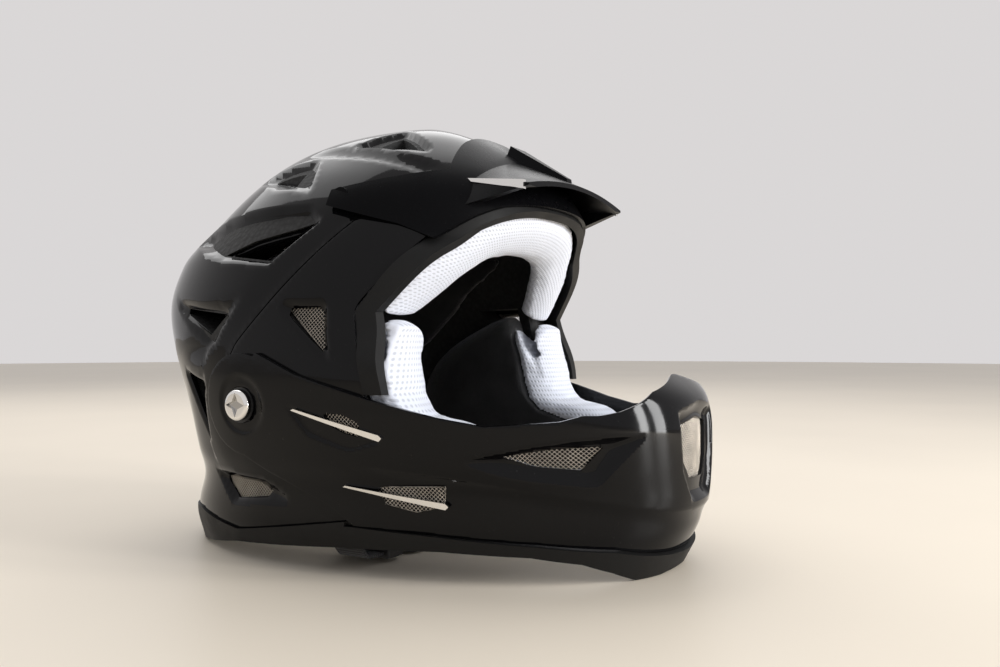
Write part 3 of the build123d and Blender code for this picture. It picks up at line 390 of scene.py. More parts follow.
def faces_left(faces, mark, points, removed):
    """Faces whose points are marked -1, inside, or 0, on an outline; a quad that an outline halves is cut."""
    kept = []
    for face in faces:
        marks = [mark[i] for i in face]
        if max(marks) <= 0:
            if min(marks) < 0 or removed(points[list(face)].mean(axis=0)[None, :])[0] < 0:
                kept.append(face)
        elif min(marks) < 0 and len(face) == 3:
            if sum(marks) < 0:
                kept.append(face)
        elif min(marks) < 0:
            a, b, c, e = face
            if mark[a] == 0 and mark[c] == 0:
                kept.append((a, b, c) if mark[b] < 0 else (a, c, e))
            elif mark[b] == 0 and mark[e] == 0:
                kept.append((b, c, e) if mark[c] < 0 else (a, b, e))
            elif sum(marks) < 0:
                kept.append(face)
    return kept


def moulded_panel(name, place, u, v, faces, removed, relief, creases, cell, wall):
    """Panel cut from a fine grid on the skin: its grid is pulled onto the outlines, then cut there.

    place(u, v) gives points, removed(points) is positive where nothing is left, relief(points) is
    how far the moulded form stands out of the skin, and the grid follows the creases' zero lines.
    """
    corners = np.array(faces)
    edges = np.concatenate([np.stack([corners[:, k], corners[:, (k + 1) % 4]], axis=-1) for k in range(4)])
    pull_onto(u, v, edges, place, removed, np.ones(len(u), bool), cell)
    for crease in creases:
        pull_onto(u, v, edges, place, crease, removed(place(u, v)) < -NUDGE, cell)
    points = place(u, v)
    d = removed(points)
    mark = np.where(np.abs(d) < ON_LINE, 0, np.sign(d))
    du = place(u + NUDGE, v) - place(u - NUDGE, v)
    dv = place(u, v + NUDGE) - place(u, v - NUDGE)
    normal = np.cross(du, dv)
    normal /= np.maximum(np.linalg.norm(normal, axis=1), 1e-12)[:, None]
    outward = np.sum(normal * (points - np.array(helmet_middle)), axis=1)
    normal *= np.where(outward < 0, -1.0, 1.0)[:, None]
    folds = [np.where(np.abs(g) < ON_LINE, 0, np.sign(g)) for g in (crease(points) for crease in creases)]
    kept = faces_left(split_on_folds(corners, folds), mark, points, removed)
    used = sorted(set(i for face in kept for i in face))
    index = {old: new for new, old in enumerate(used)}
    shaped = points[used] + normal[used] * relief(points[used])[:, None]
    piece = mesh_object(name, shaped, [[index[i] for i in face] for face in kept])
    turn_out(piece, WELD)
    finish_modifier(piece, "SOLIDIFY", thickness=wall, offset=-1.0, use_even_offset=False)
    finish_modifier(piece, "BEVEL", width=EDGE_ROUND, segments=2, limit_method="ANGLE",
                    angle_limit=math.radians(EDGE_ANGLE), use_clamp_overlap=True, harden_normals=False)
    return piece


# Materials
def new_material(name, colour, roughness, metallic=0.0, **inputs):
    material = bpy.data.materials.new(name)
    material.use_nodes = True
    shader = material.node_tree.nodes["Principled BSDF"]
    shader.inputs["Base Color"].default_value = (*colour, 1.0)
    shader.inputs["Roughness"].default_value = roughness
    shader.inputs["Metallic"].default_value = metallic
    for key, value in inputs.items():
        shader.inputs[key.replace("_", " ")].default_value = value
    return material, material.node_tree, shader


def object_place(tree):
    return tree.nodes.new("ShaderNodeTexCoord").outputs["Object"]


def object_noise(tree, scale, detail=4.0, roughness=0.5):
    """Noise on Object coordinates, whose scale is in features per metre."""
    noise = tree.nodes.new("ShaderNodeTexNoise")
    noise.inputs["Scale"].default_value = scale
    noise.inputs["Detail"].default_value = detail
    noise.inputs["Roughness"].default_value = roughness
    tree.links.new(object_place(tree), noise.inputs["Vector"])
    return noise


def ranged(tree, output, low, high, from_low=0.0, from_high=1.0):
    """A value moved from one range to another."""
    node = tree.nodes.new("ShaderNodeMapRange")
    node.inputs["From Min"].default_value = from_low
    node.inputs["From Max"].default_value = from_high
    node.inputs["To Min"].default_value = low
    node.inputs["To Max"].default_value = high
    tree.links.new(output, node.inputs["Value"])
    return node.outputs["Result"]


def shade(colour, factor, lift=0.0):
    return tuple(c * factor + lift for c in colour)


def colour_by(tree, shader, factor, dark, light):
    """Base colour that runs from dark to light with a factor."""
    # The Mix node's sockets share their names, so its colour ones are taken by number
    node = tree.nodes.new("ShaderNodeMix")
    node.data_type = "RGBA"
    node.inputs[6].default_value = (*dark, 1.0)
    node.inputs[7].default_value = (*light, 1.0)
    tree.links.new(factor, node.inputs[0])
    tree.links.new(node.outputs[2], shader.inputs["Base Color"])


def roughness_by(tree, shader, noise, low, high, from_low, from_high):
    """Roughness that runs from low to high with a noise."""
    level = ranged(tree, noise.outputs["Fac"], low, high, from_low, from_high)
    tree.links.new(level, shader.inputs["Roughness"])


def weave_map(tree):
    uv = tree.nodes.new("ShaderNodeUVMap")
    uv.uv_map = WEAVE
    return uv.outputs["UV"]


def math_node(tree, operation, *inputs):
    node = tree.nodes.new("ShaderNodeMath")
    node.operation = operation
    for socket, output in zip(node.inputs, inputs):
        tree.links.new(output, socket)
    return node.outputs[0]


def add_bump(tree, shader, height, strength, distance):
    bump = tree.nodes.new("ShaderNodeBump")
    bump.inputs["Strength"].default_value = strength
    bump.inputs["Distance"].default_value = distance
    tree.links.new(height, bump.inputs["Height"])
    if shader.inputs["Normal"].is_linked:
        tree.links.new(shader.inputs["Normal"].links[0].from_socket, bump.inputs["Normal"])
    tree.links.new(bump.outputs["Normal"], shader.inputs["Normal"])


def lacquer(name, colour, roughness, specular, clean, smeared):
    """Black lacquer with fine dust and handling marks."""
    material, tree, shader = new_material(name, colour, roughness, Specular_IOR_Level=specular)
    roughness_by(tree, shader, object_noise(tree, 28.0, 6.0, 0.6), clean, smeared, 0.35, 0.7)
    dust = object_noise(tree, 900.0, 3.0, 0.6)
    specks = ranged(tree, dust.outputs["Fac"], 0.0, 0.35, 0.69, 0.78)
    colour_by(tree, shader, specks, colour, (0.09, 0.09, 0.085))
    return material, tree, shader


def black_lacquer(colour):
    """Piano black lacquer of the shell, with a faint peel in it."""
    material, tree, shader = lacquer("Black Lacquer", colour, 0.06, 0.2, 0.03, 0.12)
    peel = object_noise(tree, 160.0, 1.0)
    add_bump(tree, shader, peel.outputs["Fac"], 0.05, 0.0004)
    return material


def satin_lacquer(colour):
    """Duller black lacquer of the visor."""
    return lacquer("Satin Lacquer", colour, 0.3, 0.06, 0.24, 0.36)[0]


def trim_rubber(colour):
    """Satin rubber with a fine pebble."""
    material, tree, shader = new_material("Trim Rubber", colour, 0.42, Specular_IOR_Level=0.22)
    pebble = object_noise(tree, 1500.0, 3.0)
    add_bump(tree, shader, pebble.outputs["Fac"], 0.25, 0.0003)
    worn = object_noise(tree, 40.0, 4.0)
    roughness_by(tree, shader, worn, 0.4, 0.62, 0.3, 0.7)
    colour_by(tree, shader, worn.outputs["Fac"], colour, shade(colour, 1.8, 0.002))
    return material


def bead_foam(colour):
    """Pressed bead foam: rounded cells a few millimetres across, with painted shade towards their edges."""
    material, tree, shader = new_material("Bead Foam", colour, 0.75)
    beads = tree.nodes.new("ShaderNodeTexVoronoi")
    beads.inputs["Scale"].default_value = 330.0
    tree.links.new(object_place(tree), beads.inputs["Vector"])
    add_bump(tree, shader, ranged(tree, beads.outputs["Distance"], 1.0, 0.0), 0.55, 0.0006)
    # Painted shade: each bead is lighter in its middle and darker towards the seams between beads, following
    # the bump's height
    painted_bead_shade = ranged(tree, beads.outputs["Distance"], 0.0, 1.0, 0.2, 0.75)
    colour_by(tree, shader, painted_bead_shade, shade(colour, 1.6, 0.006), colour)
    return material


def spacer_mesh(name, colour, pitch, hole):
    """White spacer fabric: staggered rows of small holes with painted shade in them, read from the piece's
    own UV map.
    """
    material, tree, shader = new_material(name, colour, 0.85, Sheen_Weight=0.35, Sheen_Roughness=0.5)
    cells = tree.nodes.new("ShaderNodeTexVoronoi")
    cells.voronoi_dimensions = "2D"
    cells.inputs["Randomness"].default_value = 0.0
    cells.inputs["Scale"].default_value = 1.0 / pitch
    tree.links.new(weave_map(tree), cells.inputs["Vector"])
    shaded_holes = ranged(tree, cells.outputs["Distance"], 0.0, 1.0, hole, hole + 0.2)
    # Painted shade: the holes are darkened, and the same mask presses them in as a bump
    colour_by(tree, shader, shaded_holes, shade(colour, 0.72), colour)
    add_bump(tree, shader, shaded_holes, 0.45, 0.0005)
    fuzz = object_noise(tree, 2600.0, 2.0)
    add_bump(tree, shader, fuzz.outputs["Fac"], 0.3, 0.0003)
    return material


def velvet(colour):
    """Fuzzy black lining with a soft nap."""
    material, tree, shader = new_material("Black Velvet", colour, 0.95,
                                          Sheen_Weight=0.5, Sheen_Roughness=0.35)
    nap = object_noise(tree, 1400.0, 4.0, 0.7)
    add_bump(tree, shader, nap.outputs["Fac"], 0.8, 0.0008)
    cloud = object_noise(tree, 60.0, 4.0)
    patches = ranged(tree, cloud.outputs["Fac"], 0.0, 1.0, 0.3, 0.7)
    colour_by(tree, shader, patches, colour, shade(colour, 2.2, 0.006))
    return material


def bright_metal(name, colour, roughness, grain):
    """Polished metal with faint rub marks."""
    material, tree, shader = new_material(name, colour, roughness, 1.0)
    rubs = object_noise(tree, grain, 5.0, 0.65)
    roughness_by(tree, shader, rubs, roughness * 0.6, roughness * 2.0, 0.3, 0.75)
    return material


def star_screw_metal(colour):
    """Polished metal with painted shade in the star recess, told by the depth across the helmet."""
    material = bright_metal("Chrome", colour, 0.07, 260.0)
    tree = material.node_tree
    shader = tree.nodes["Principled BSDF"]
    parts = tree.nodes.new("ShaderNodeSeparateXYZ")
    tree.links.new(object_place(tree), parts.inputs[0])
    depth = math_node(tree, "ABSOLUTE", parts.outputs["X"])
    level = ranged(tree, depth, 0.0, 1.0, STAR_FLOOR + 0.0002, STAR_FLOOR + 0.0013)
    # Painted shade: the metal is darkened towards the floor of the star recess
    colour_by(tree, shader, level, shade(colour, 0.12), colour)
    return material


def wire_metal(colour):
    """Drawn wire with a warm dull shine."""
    material, tree, shader = new_material("Wire Mesh", colour, 0.38, 0.85)
    stains = object_noise(tree, 120.0, 3.0)
    patches = ranged(tree, stains.outputs["Fac"], 0.0, 1.0, 0.3, 0.7)
    colour_by(tree, shader, patches, shade(colour, 0.7), colour)
    return material


def woven_webbing(colour):
    """Nylon webbing: ribs across and fine yarns along, on the strap's own UV map, with painted light on the
    ribs.
    """
    material, tree, shader = new_material("Webbing", colour, 0.65, Sheen_Weight=0.2)
    weave = weave_map(tree)
    ribs = tree.nodes.new("ShaderNodeTexWave")
    ribs.bands_direction = "X"
    ribs.inputs["Scale"].default_value = 180.0
    ribs.inputs["Distortion"].default_value = 0.6
    tree.links.new(weave, ribs.inputs["Vector"])
    yarns = tree.nodes.new("ShaderNodeTexWave")
    yarns.bands_direction = "Y"
    yarns.inputs["Scale"].default_value = 260.0
    tree.links.new(weave, yarns.inputs["Vector"])
    add_bump(tree, shader, ribs.outputs["Fac"], 0.5, 0.0004)
    add_bump(tree, shader, yarns.outputs["Fac"], 0.35, 0.0003)
    # Painted light: the ribs' crests are lighter and their grooves darker, following the bump's height
    colour_by(tree, shader, ribs.outputs["Fac"], colour, shade(colour, 2.0, 0.008))
    return material


def moulded_plastic(name, colour):
    """Fine-textured moulded plastic."""
    material, tree, shader = new_material(name, colour, 0.38)
    grain = object_noise(tree, 2200.0, 2.0)
    add_bump(tree, shader, grain.outputs["Fac"], 0.18, 0.0002)
    roughness_by(tree, shader, object_noise(tree, 50.0), 0.3, 0.48, 0.3, 0.7)
    return material


def painted(piece, *materials):
    piece.data.materials.clear()
    for material in materials:
        piece.data.materials.append(material)
    return piece


def found_material(name):
    """A finish made once and shared by the pieces."""
    if name in bpy.data.materials:
        return bpy.data.materials[name]
    look = bpy.context.scene.helmet_finish
    makers = {
        "Black Lacquer": lambda: black_lacquer(tuple(look.lacquer)),
        "Satin Lacquer": lambda: satin_lacquer(tuple(look.lacquer)),
        "Trim Rubber": lambda: trim_rubber(tuple(look.rubber)),
        "Bead Foam": lambda: bead_foam(tuple(look.foam)),
        "Brow Mesh": lambda: spacer_mesh("Brow Mesh", tuple(look.padding), 0.0022, 0.16),
        "Cheek Mesh": lambda: spacer_mesh("Cheek Mesh", tuple(look.padding), 0.003, 0.16),
        "Black Velvet": lambda: velvet(tuple(look.lining)),
        "Chrome": lambda: star_screw_metal((0.86, 0.85, 0.83)),
        "Bright Silver": lambda: bright_metal("Bright Silver", (0.82, 0.81, 0.79), 0.16, 420.0),
        "Steel": lambda: bright_metal("Steel", (0.42, 0.42, 0.41), 0.32, 300.0),
        "Wire Mesh": lambda: wire_metal(tuple(look.wire)),
        "Webbing": lambda: woven_webbing(tuple(look.webbing)),
        "Buckle Plastic": lambda: moulded_plastic("Buckle Plastic", (0.014, 0.014, 0.015)),
    }
    return makers[name]()


class HelmetFinish(bpy.types.PropertyGroup):
    lacquer: bpy.props.FloatVectorProperty(
        name="Lacquer", description="Colour of the shell, chin guard and visor",
        default=(0.0025, 0.0025, 0.003), subtype="COLOR", min=0.0, max=1.0)
    rubber: bpy.props.FloatVectorProperty(
        name="Rubber", description="Colour of the trims", default=(0.003, 0.003, 0.003),
        subtype="COLOR", min=0.0, max=1.0)
    foam: bpy.props.FloatVectorProperty(
        name="Foam", description="Colour of the foam liner", default=(0.01, 0.01, 0.01),
        subtype="COLOR", min=0.0, max=1.0)
    padding: bpy.props.FloatVectorProperty(
        name="Padding", description="Colour of the white spacer fabric", default=(0.72, 0.745, 0.82),
        subtype="COLOR", min=0.0, max=1.0)
    lining: bpy.props.FloatVectorProperty(
        name="Lining", description="Colour of the black lining", default=(0.006, 0.006, 0.007),
        subtype="COLOR", min=0.0, max=1.0)
    wire: bpy.props.FloatVectorProperty(
        name="Wire", description="Colour of the wire mesh", default=(0.62, 0.57, 0.5),
        subtype="COLOR", min=0.0, max=1.0)
    webbing: bpy.props.FloatVectorProperty(
        name="Webbing", description="Colour of the straps", default=(0.012, 0.012, 0.013),
        subtype="COLOR", min=0.0, max=1.0)


class HelmetSizes(bpy.types.PropertyGroup):
    scoop_depth: bpy.props.FloatProperty(
        name="Scoop Depth", description="Depth of the hollows round the side vents", default=0.0065,
        min=0.0, max=0.01, unit="LENGTH")
    ridge_height: bpy.props.FloatProperty(
        name="Ridge Height", description="Height of the moulded ridges of the shell", default=0.0022,
        min=0.0, max=0.004, unit="LENGTH")
    facet_depth: bpy.props.FloatProperty(
        name="Facet Depth", description="Drop of the facets round the vents", default=0.0014,
        min=0.0, max=0.003, unit="LENGTH")
    wire_pitch: bpy.props.FloatProperty(
        name="Wire Pitch", description="Distance between the wires of the mesh", default=0.0015,
        min=0.001, max=0.005, unit="LENGTH")
    wire_thickness: bpy.props.FloatProperty(
        name="Wire Thickness", description="Diameter of the wires", default=0.00055,
        min=0.0002, max=0.002, unit="LENGTH")
    pad_swell: bpy.props.FloatProperty(
        name="Pad Swell", description="Most that the stuffing may push a pad's cover out", default=0.0022,
        min=0.0, max=0.01, unit="LENGTH")


class StageSettings(bpy.types.PropertyGroup):
    floor: bpy.props.FloatVectorProperty(
        name="Floor", description="Colour of the floor", default=(0.86, 0.76, 0.62),
        subtype="COLOR", min=0.0, max=1.0)
    backdrop: bpy.props.FloatVectorProperty(
        name="Backdrop", description="Colour behind the helmet", default=(0.70, 0.68, 0.68),
        subtype="COLOR", min=0.0, max=1.0)
    key_power: bpy.props.FloatProperty(
        name="Key Power", description="Power of the large lamp over the helmet", default=17.0,
        min=0.0, max=500.0, unit="POWER")
    window_power: bpy.props.FloatProperty(
        name="Window Power", description="Power of each upright lamp before the chin", default=12.0,
        min=0.0, max=500.0, unit="POWER")


# Moulded skin of the shell, in two plates that meet at a step beside the eye port
crown_ridge = [(50.0, 60.0), (57.0, 34.0), (62.0, 12.0), (64.5, -6.0), (65.0, -25.0), (63.0, -40.0),
               (61.0, -56.0)]
shoulder_ridge = [(118.0, 183.0), (100.0, 190.5), (78.0, 194.5), (52.0, 196.5), (27.0, 197.5), (8.0, 196.5),
                  (-8.0, 193.5)]
face_plate = [(44.0, 122.0), (21.0, 145.0), (4.0, 162.0), (-11.0, 177.0), (-25.0, 191.0), (-36.0, 206.0),
              (-75.0, 206.0), (-75.0, 68.0), (48.0, 68.0), (60.0, 98.0)]
rear_plate_edge = [(74.0, 108.0), (69.0, 117.0), (44.0, 144.0), (38.0, 150.0)]
ear_plate_edge = [(72.0, 52.0), (77.0, 66.0), (76.0, 84.0), (72.0, 108.0)]
eyeport_front = ([(eyeport_edge[0][0], -50.0)] + eyeport_edge
                 + [(-250.0, eyeport_edge[-1][1]), (-250.0, -50.0)])
under_shoulder = shoulder_ridge[:-1] + [(-3.5, 189.0), (26.5, 163.6), (70.0, 168.6), (94.0, 175.5)]
facetted_vents = ("middle", "lower")

# Where the crown ridge starts and ends on its way back, with the length of each fade, and the share
# of its height that it drops by beyond its width
ridge_ends = ((-0.055, 0.012), (0.058, 0.04))
RIDGE_DROP = 0.7
# Steps behind the plates' edges: line, depth, and the level and width of each end's fade
plate_steps = ((rear_plate_edge, 0.0022, (0.109, 0.01), (0.149, 0.01)),
               (ear_plate_edge, 0.0018, (0.053, 0.012), (0.107, 0.01)))
# Depth of each hollow and width of its walls
hollow_sizes = {
    "window": (0.0032, 0.005),
    "low_window": (0.0034, 0.006),
    "crown": (0.0042, 0.006),
    "shoulder": (0.005, 0.009),
    "nape": (0.0038, 0.008),
    "chin_window": (0.0048, 0.007),
    "chin_front": (0.0042, 0.006),
    "strip_panel": (0.0012, 0.004),
}


def eyeport_gap(p):
    """Positive in front of the eye port's edge moved back by its margin."""
    return EYEPORT_MARGIN - outline_distance(side_view(p), eyeport_front)


def foot_gap(p):
    """Positive below the shell's foot."""
    ys, zs = np.array(sorted(rear_foot)).T * MILLIMETRE
    return np.interp(p[:, 1], ys, zs) - p[:, 2]


def shell_removed(p):
    """Positive where the shell has its eye port, its foot or a vent."""
    gaps = [eyeport_gap(p), foot_gap(p)]
    for outline in side_vents.values():
        gaps.append(-outline_distance(side_view(p), outline))
    for outline in top_vents.values():
        gaps.append(np.where(p[:, 2] > TOP_START, -outline_distance(top_view(p), outline), -FAR))
    return np.max(gaps, axis=0)


def rear_removed(p):
    """Positive where the rear shell has nothing: the shell's openings and the face plates."""
    return np.maximum(shell_removed(p), PLATE_GAP - outline_distance(side_view(p), face_plate))


def face_removed(p):
    """Positive where the face plates have nothing."""
    return np.maximum(shell_removed(p), outline_distance(side_view(p), face_plate) + PLATE_GAP)


def ramp(value):
    """Starts at once, like a folded edge, and levels out."""
    t = np.clip(value, 0, 1)
    return 1 - (1 - t) ** 2


def folded_hollow(points, outline, depth, slope):
    """Hollow inside an outline, folded down at its edge."""
    return -depth * ramp(-outline_distance(points, outline) / slope)


def basin(points, outline, depth, slope):
    """Hollow whose walls run together softly; its outline has outward corners only."""
    corners = np.array(outline) * MILLIMETRE
    after = np.roll(corners, -1, axis=0)
    turned = np.sign(np.sum(corners[:, 0] * after[:, 1] - corners[:, 1] * after[:, 0]))
    share = np.ones(len(points))
    for a, b in zip(corners, after):
        inward = np.array([a[1] - b[1], b[0] - a[0]]) / np.hypot(*(b - a)) * turned
        share *= ramp((points - a) @ inward / slope)
    return -depth * share


def chamfer(distance):
    """Facet round a vent, sloping down to its edge."""
    size = bpy.context.scene.helmet_sizes
    return -size.facet_depth * (1 - np.clip(distance / FACET_WIDTH, 0, 1))


def signed_line(points, line):
    """Distance of 2D points from an open line, positive on its left."""
    far, which = line_distance(points, line)
    return far * np.where(which < 0, -1.0, 1.0)


def plate_step(side, line, depth, low, high):
    """Drop behind a plate's edge between two levels; the plate lies on the left of the line."""
    behind = -signed_line(side, line)
    drop = np.where(behind > 0, -depth * ramp(behind / STEP_WIDTH) * (1 - ease(behind / STEP_FADE)), 0.0)
    return drop * ease((high[0] - side[:, 1]) / high[1]) * ease((side[:, 1] - low[0]) / low[1])


def shell_relief(p):
    """How far the shell's ridges and hollows stand out of its skin."""
    size = bpy.context.scene.helmet_sizes
    side, plan = side_view(p), top_view(p)
    high = ease((p[:, 2] - TOP_START) / TOP_FADE)
    form = folded_hollow(side, under_shoulder, size.scoop_depth, SHOULDER_WALL)
    form += basin(side, side_scoops["middle"], size.scoop_depth / 2, MIDDLE_WALL)
    for key in ("window", "low_window"):
        form += basin(side, side_scoops[key], *hollow_sizes[key])
    for key, outline in top_scoops.items():
        form += high * basin(plan, outline, *hollow_sizes[key])
    outer = signed_line(plan, crown_ridge)
    front, rear = ridge_ends
    along = ease((p[:, 1] - front[0]) / front[1]) * ease((rear[0] - p[:, 1]) / rear[1])
    band = ramp(outer / RIDGE_WIDTH) * (1 - RIDGE_DROP * ease((outer - RIDGE_WIDTH) / RIDGE_FALL))
    band = band * (1 - ease((outer - RIDGE_FLAT) / RIDGE_FADE))
    form -= np.where(outer > 0, high * along * size.ridge_height * band, 0.0)
    for key in facetted_vents:
        form += chamfer(outline_distance(side, side_vents[key]))
    for step in plate_steps:
        form += plate_step(side, *step)
    behind = outline_distance(side, face_plate)
    form -= PLATE_RISE * ease(behind / PLATE_LIP) * (1 - ease((behind - PLATE_LIP) / PLATE_FADE))
    return form


def side_crease(outline, width=0.0):
    """Zero along an outline of the side view grown by a width."""
    return lambda p: outline_distance(side_view(p), outline) - width


def line_crease(line):
    """Zero along an open line of the side view."""
    return lambda p: signed_line(side_view(p), line)


def ridge_crease(width):
    """Zero along the crown ridge moved outwards by a width."""
    return lambda p: np.where(p[:, 2] > RIDGE_START, signed_line(top_view(p), crown_ridge) - width, FAR)


def top_crease(outline):
    """Zero along an outline of the top view."""
    return lambda p: np.where(p[:, 2] > TOP_START, outline_distance(top_view(p), outline), FAR)


def plate_creases():
    """Folds that the face plates share with the rear shell."""
    return [side_crease(side_scoops[key]) for key in ("middle", "window", "low_window")]


def shell_creases():
    """Folds of the rear shell, in the order in which its grid is pulled onto them."""
    found = [side_crease(under_shoulder), ridge_crease(0.0), line_crease(rear_plate_edge),
             line_crease(ear_plate_edge), ridge_crease(RIDGE_WIDTH)] + plate_creases()
    found += [side_crease(side_vents[key], FACET_WIDTH) for key in facetted_vents]
    return found + [top_crease(outline) for outline in top_scoops.values()]


def dome_grid():
    """Turn and reach of a square grid laid over the dome, which has no pole."""
    line = np.linspace(-1, 1, DOME_CELLS + 1)
    a, b = [m.ravel() for m in np.meshgrid(line, line, indexing="ij")]
    wide = np.abs(a) > np.abs(b)
    radius = np.where(wide, a, b)
    share = np.where(wide, b, a) / np.where(radius == 0, 1.0, radius)
    turn = np.where(wide, math.pi / 4 * share, math.pi / 2 - math.pi / 4 * share)
    turn = np.where(radius < 0, turn + math.pi, turn)
    faces = grid_faces(DOME_CELLS + 1, DOME_CELLS + 1, closed=False)
    return turn, np.abs(radius) * reach_of_level(LOWEST_LEVEL), faces


def on_skin(offset):
    return lambda turn, reach: skin_point(turn, np.abs(reach), offset)


def make_shell_part(name, removed, creases):
    u, v, faces = dome_grid()
    return moulded_panel(name, on_skin(0.0), u, v, faces, removed, shell_relief, creases,
                         DOME_CELL, SHELL_WALL)


# Moulded skin of the chin guard
chin_face = [(-51.0, 92.2), (-77.0, 85.5), (-100.2, 81.4), (-132.5, 84.0), (-150.4, 89.6), (-155.7, 115.2),
             (-215.0, 115.2), (-215.0, 7.7), (-172.7, 9.7), (-150.4, 17.2), (-118.1, 21.2), (-69.8, 24.8)]
chin_heel = [(-26.0, 26.9), (-10.7, 37.1), (7.2, 44.0), (25.1, 52.0)]
chin_arm = [(26.9, 117.5), (0.0, 106.2), (-43.0, 94.0)]
chin_slots = {
    "upper": [(-17.0, 86.6), (-27.6, 86.2), (-36.8, 82.3), (-37.4, 78.4), (-36.5, 74.3), (-27.7, 76.2),
              (-18.5, 80.6)],
    "lower": [(-36.5, 46.0), (-44.5, 46.4), (-73.7, 47.3), (-71.0, 42.7), (-61.0, 39.5), (-43.0, 42.6)],
}
chin_window = [(-104.0, 65.5), (-128.0, 69.5), (-151.0, 71.0), (-141.0, 58.5), (-122.0, 60.5)]
chin_window_scoop = [(-86.0, 64.0), (-128.9, 74.5), (-166.0, 77.5), (-147.0, 51.0), (-107.0, 56.0)]
front_opening = [(0.0, 83.5), (21.0, 80.0), (18.5, 60.0), (11.0, 50.5), (0.0, 50.5)]
front_scoop = [(0.0, 92.0), (27.5, 87.0), (25.0, 56.0), (14.0, 38.0), (0.0, 38.0)]
hump = [(0.0, 105.5), (4.0, 105.3), (40.0, 97.6), (51.0, 92.0), (60.0, 88.6), (68.3, 86.8), (134.0, 88.3)]
belt_line = [(-20.0, 62.0), (-80.0, 55.8), (-113.0, 50.6), (-126.0, 47.5), (-151.0, 42.6), (-174.0, 36.0),
             (-200.0, 30.0)]
strip_panel = [(8.0, 91.0), (-5.0, 74.0), (-30.0, 66.0), (-50.0, 72.0), (-46.0, 77.5)]
boss_centre = (38.3, 89.1)
BOSS_RADIUS = 28.0
BOSS_BORE = 0.0099
ARC_STEPS, ARC_START, ARC_TURN = 14, 112, 197
CHIN_FRONT = -0.12
CHIN_FRONT_FADE = 0.02
HUMP_START = -0.1307


def chin_outline():
    """Outline of the chin guard seen from the side, with its round end about the screw."""
    arc = []
    for k in range(ARC_STEPS + 1):
        turn = math.radians(ARC_START - ARC_TURN * k / ARC_STEPS)
        arc.append((boss_centre[0] + BOSS_RADIUS * math.cos(turn),
                    boss_centre[1] + BOSS_RADIUS * math.sin(turn)))
    return chin_arm[::-1] + arc + chin_heel[::-1] + chin_face[::-1]


def boss_distance(side):
    return np.hypot(side[:, 0] - boss_centre[0] * MILLIMETRE, side[:, 1] - boss_centre[1] * MILLIMETRE)


def mirrored_outline(half):
    """Whole outline of the front view from its left half."""
    return half + [(-x, z) for x, z in reversed(half) if x > 0]


def chin_removed(p):
    """Positive outside the chin guard and in its windows, slots and screw holes."""
    side, front = side_view(p), front_view(p)
    across, level = np.array(hump).T * MILLIMETRE
    gaps = [outline_distance(side, chin_outline()),
            np.where(p[:, 1] < HUMP_START, p[:, 2] - np.interp(front[:, 0], across, level), -FAR)]
    for outline in list(chin_slots.values()) + [chin_window]:
        gaps.append(-outline_distance(side, outline))
    window = outline_distance(front, mirrored_outline(front_opening))
    gaps.append(np.where(p[:, 1] < CHIN_FRONT, -window, -FAR))
    gaps.append(BOSS_BORE - boss_distance(side))
    return np.max(gaps, axis=0)


def chin_relief(p):
    """How far the chin guard's belt and hollows stand out of its skin."""
    side, front = side_view(p), front_view(p)
    form = basin(side, chin_window_scoop, *hollow_sizes["chin_window"])
    ahead = ease((CHIN_FRONT - p[:, 1]) / CHIN_FRONT_FADE)
    form += ahead * basin(front, mirrored_outline(front_scoop), *hollow_sizes["chin_front"])
    under = signed_line(side, belt_line)
    fold = np.where(under > 0, BELT_DEPTH * ramp(under / BELT_WIDTH), 0.0)
    form -= fold * ease((BELT_START - p[:, 1]) / BELT_FADE)
    form += basin(side, strip_panel, *hollow_sizes["strip_panel"])
    form -= BOSS_RISE * ease((BOSS_REACH - boss_distance(side)) / BOSS_EDGE)
    return form


def front_crease(half):
    """Zero along an outline of the front view, given by its left half."""
    outline = mirrored_outline(half)
    return lambda p: np.where(p[:, 1] < CHIN_FRONT, outline_distance(front_view(p), outline), FAR)


def make_chin_skin():
    turns = np.linspace(0, 2 * math.pi, CHIN_COLUMNS, endpoint=False) + math.pi / 2
    reaches = np.linspace(reach_of_level(CHIN_TOP_LEVEL), reach_of_level(LOWEST_LEVEL), CHIN_ROWS)
    v, u = [m.ravel() for m in np.meshgrid(reaches, turns, indexing="ij")]
    faces = grid_faces(CHIN_ROWS, CHIN_COLUMNS, closed=True)
    creases = [line_crease(belt_line), side_crease(strip_panel), side_crease(chin_window_scoop),
               front_crease(front_scoop)]
    return moulded_panel("chin_skin", on_skin(CHIN_OUT), u, v, faces, chin_removed, chin_relief, creases,
                         CHIN_CELL, CHIN_WALL)


class HELMET_OT_shell(bpy.types.Operator):
    """Moulds the lacquered shell with its vents and ridges, and the face plates beside the eye port"""
    bl_idname = "helmet.shell"
    bl_label = "Shell"

    def execute(self, context):
        for piece in (make_shell_part("rear_shell", rear_removed, shell_creases()),
                      make_shell_part("face_plates", face_removed, plate_creases())):
            painted(piece, found_material("Black Lacquer"))
            smooth_by_angle(piece, SMOOTH_ANGLE)
            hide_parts("outer_shell")
            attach(piece, "helmet")
        return {"FINISHED"}


class HELMET_OT_chin_guard(bpy.types.Operator):
    """Moulds the lacquered chin guard with its windows"""
    bl_idname = "helmet.chin_guard"
    bl_label = "Chin Guard"

    def execute(self, context):
        piece = make_chin_skin()
        painted(piece, found_material("Black Lacquer"))
        smooth_by_angle(piece, SMOOTH_ANGLE)
        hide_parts("chin_guard")
        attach(piece, "helmet")
        return {"FINISHED"}


# Wire mesh: how much wider than its outline a screen's turned grid starts, a place ahead of the whole
# helmet, and how far the front screen lies off the skin
SCREEN_COVER = 1.5
AHEAD = -0.19
FRONT_SCREEN_OFF = -0.0034


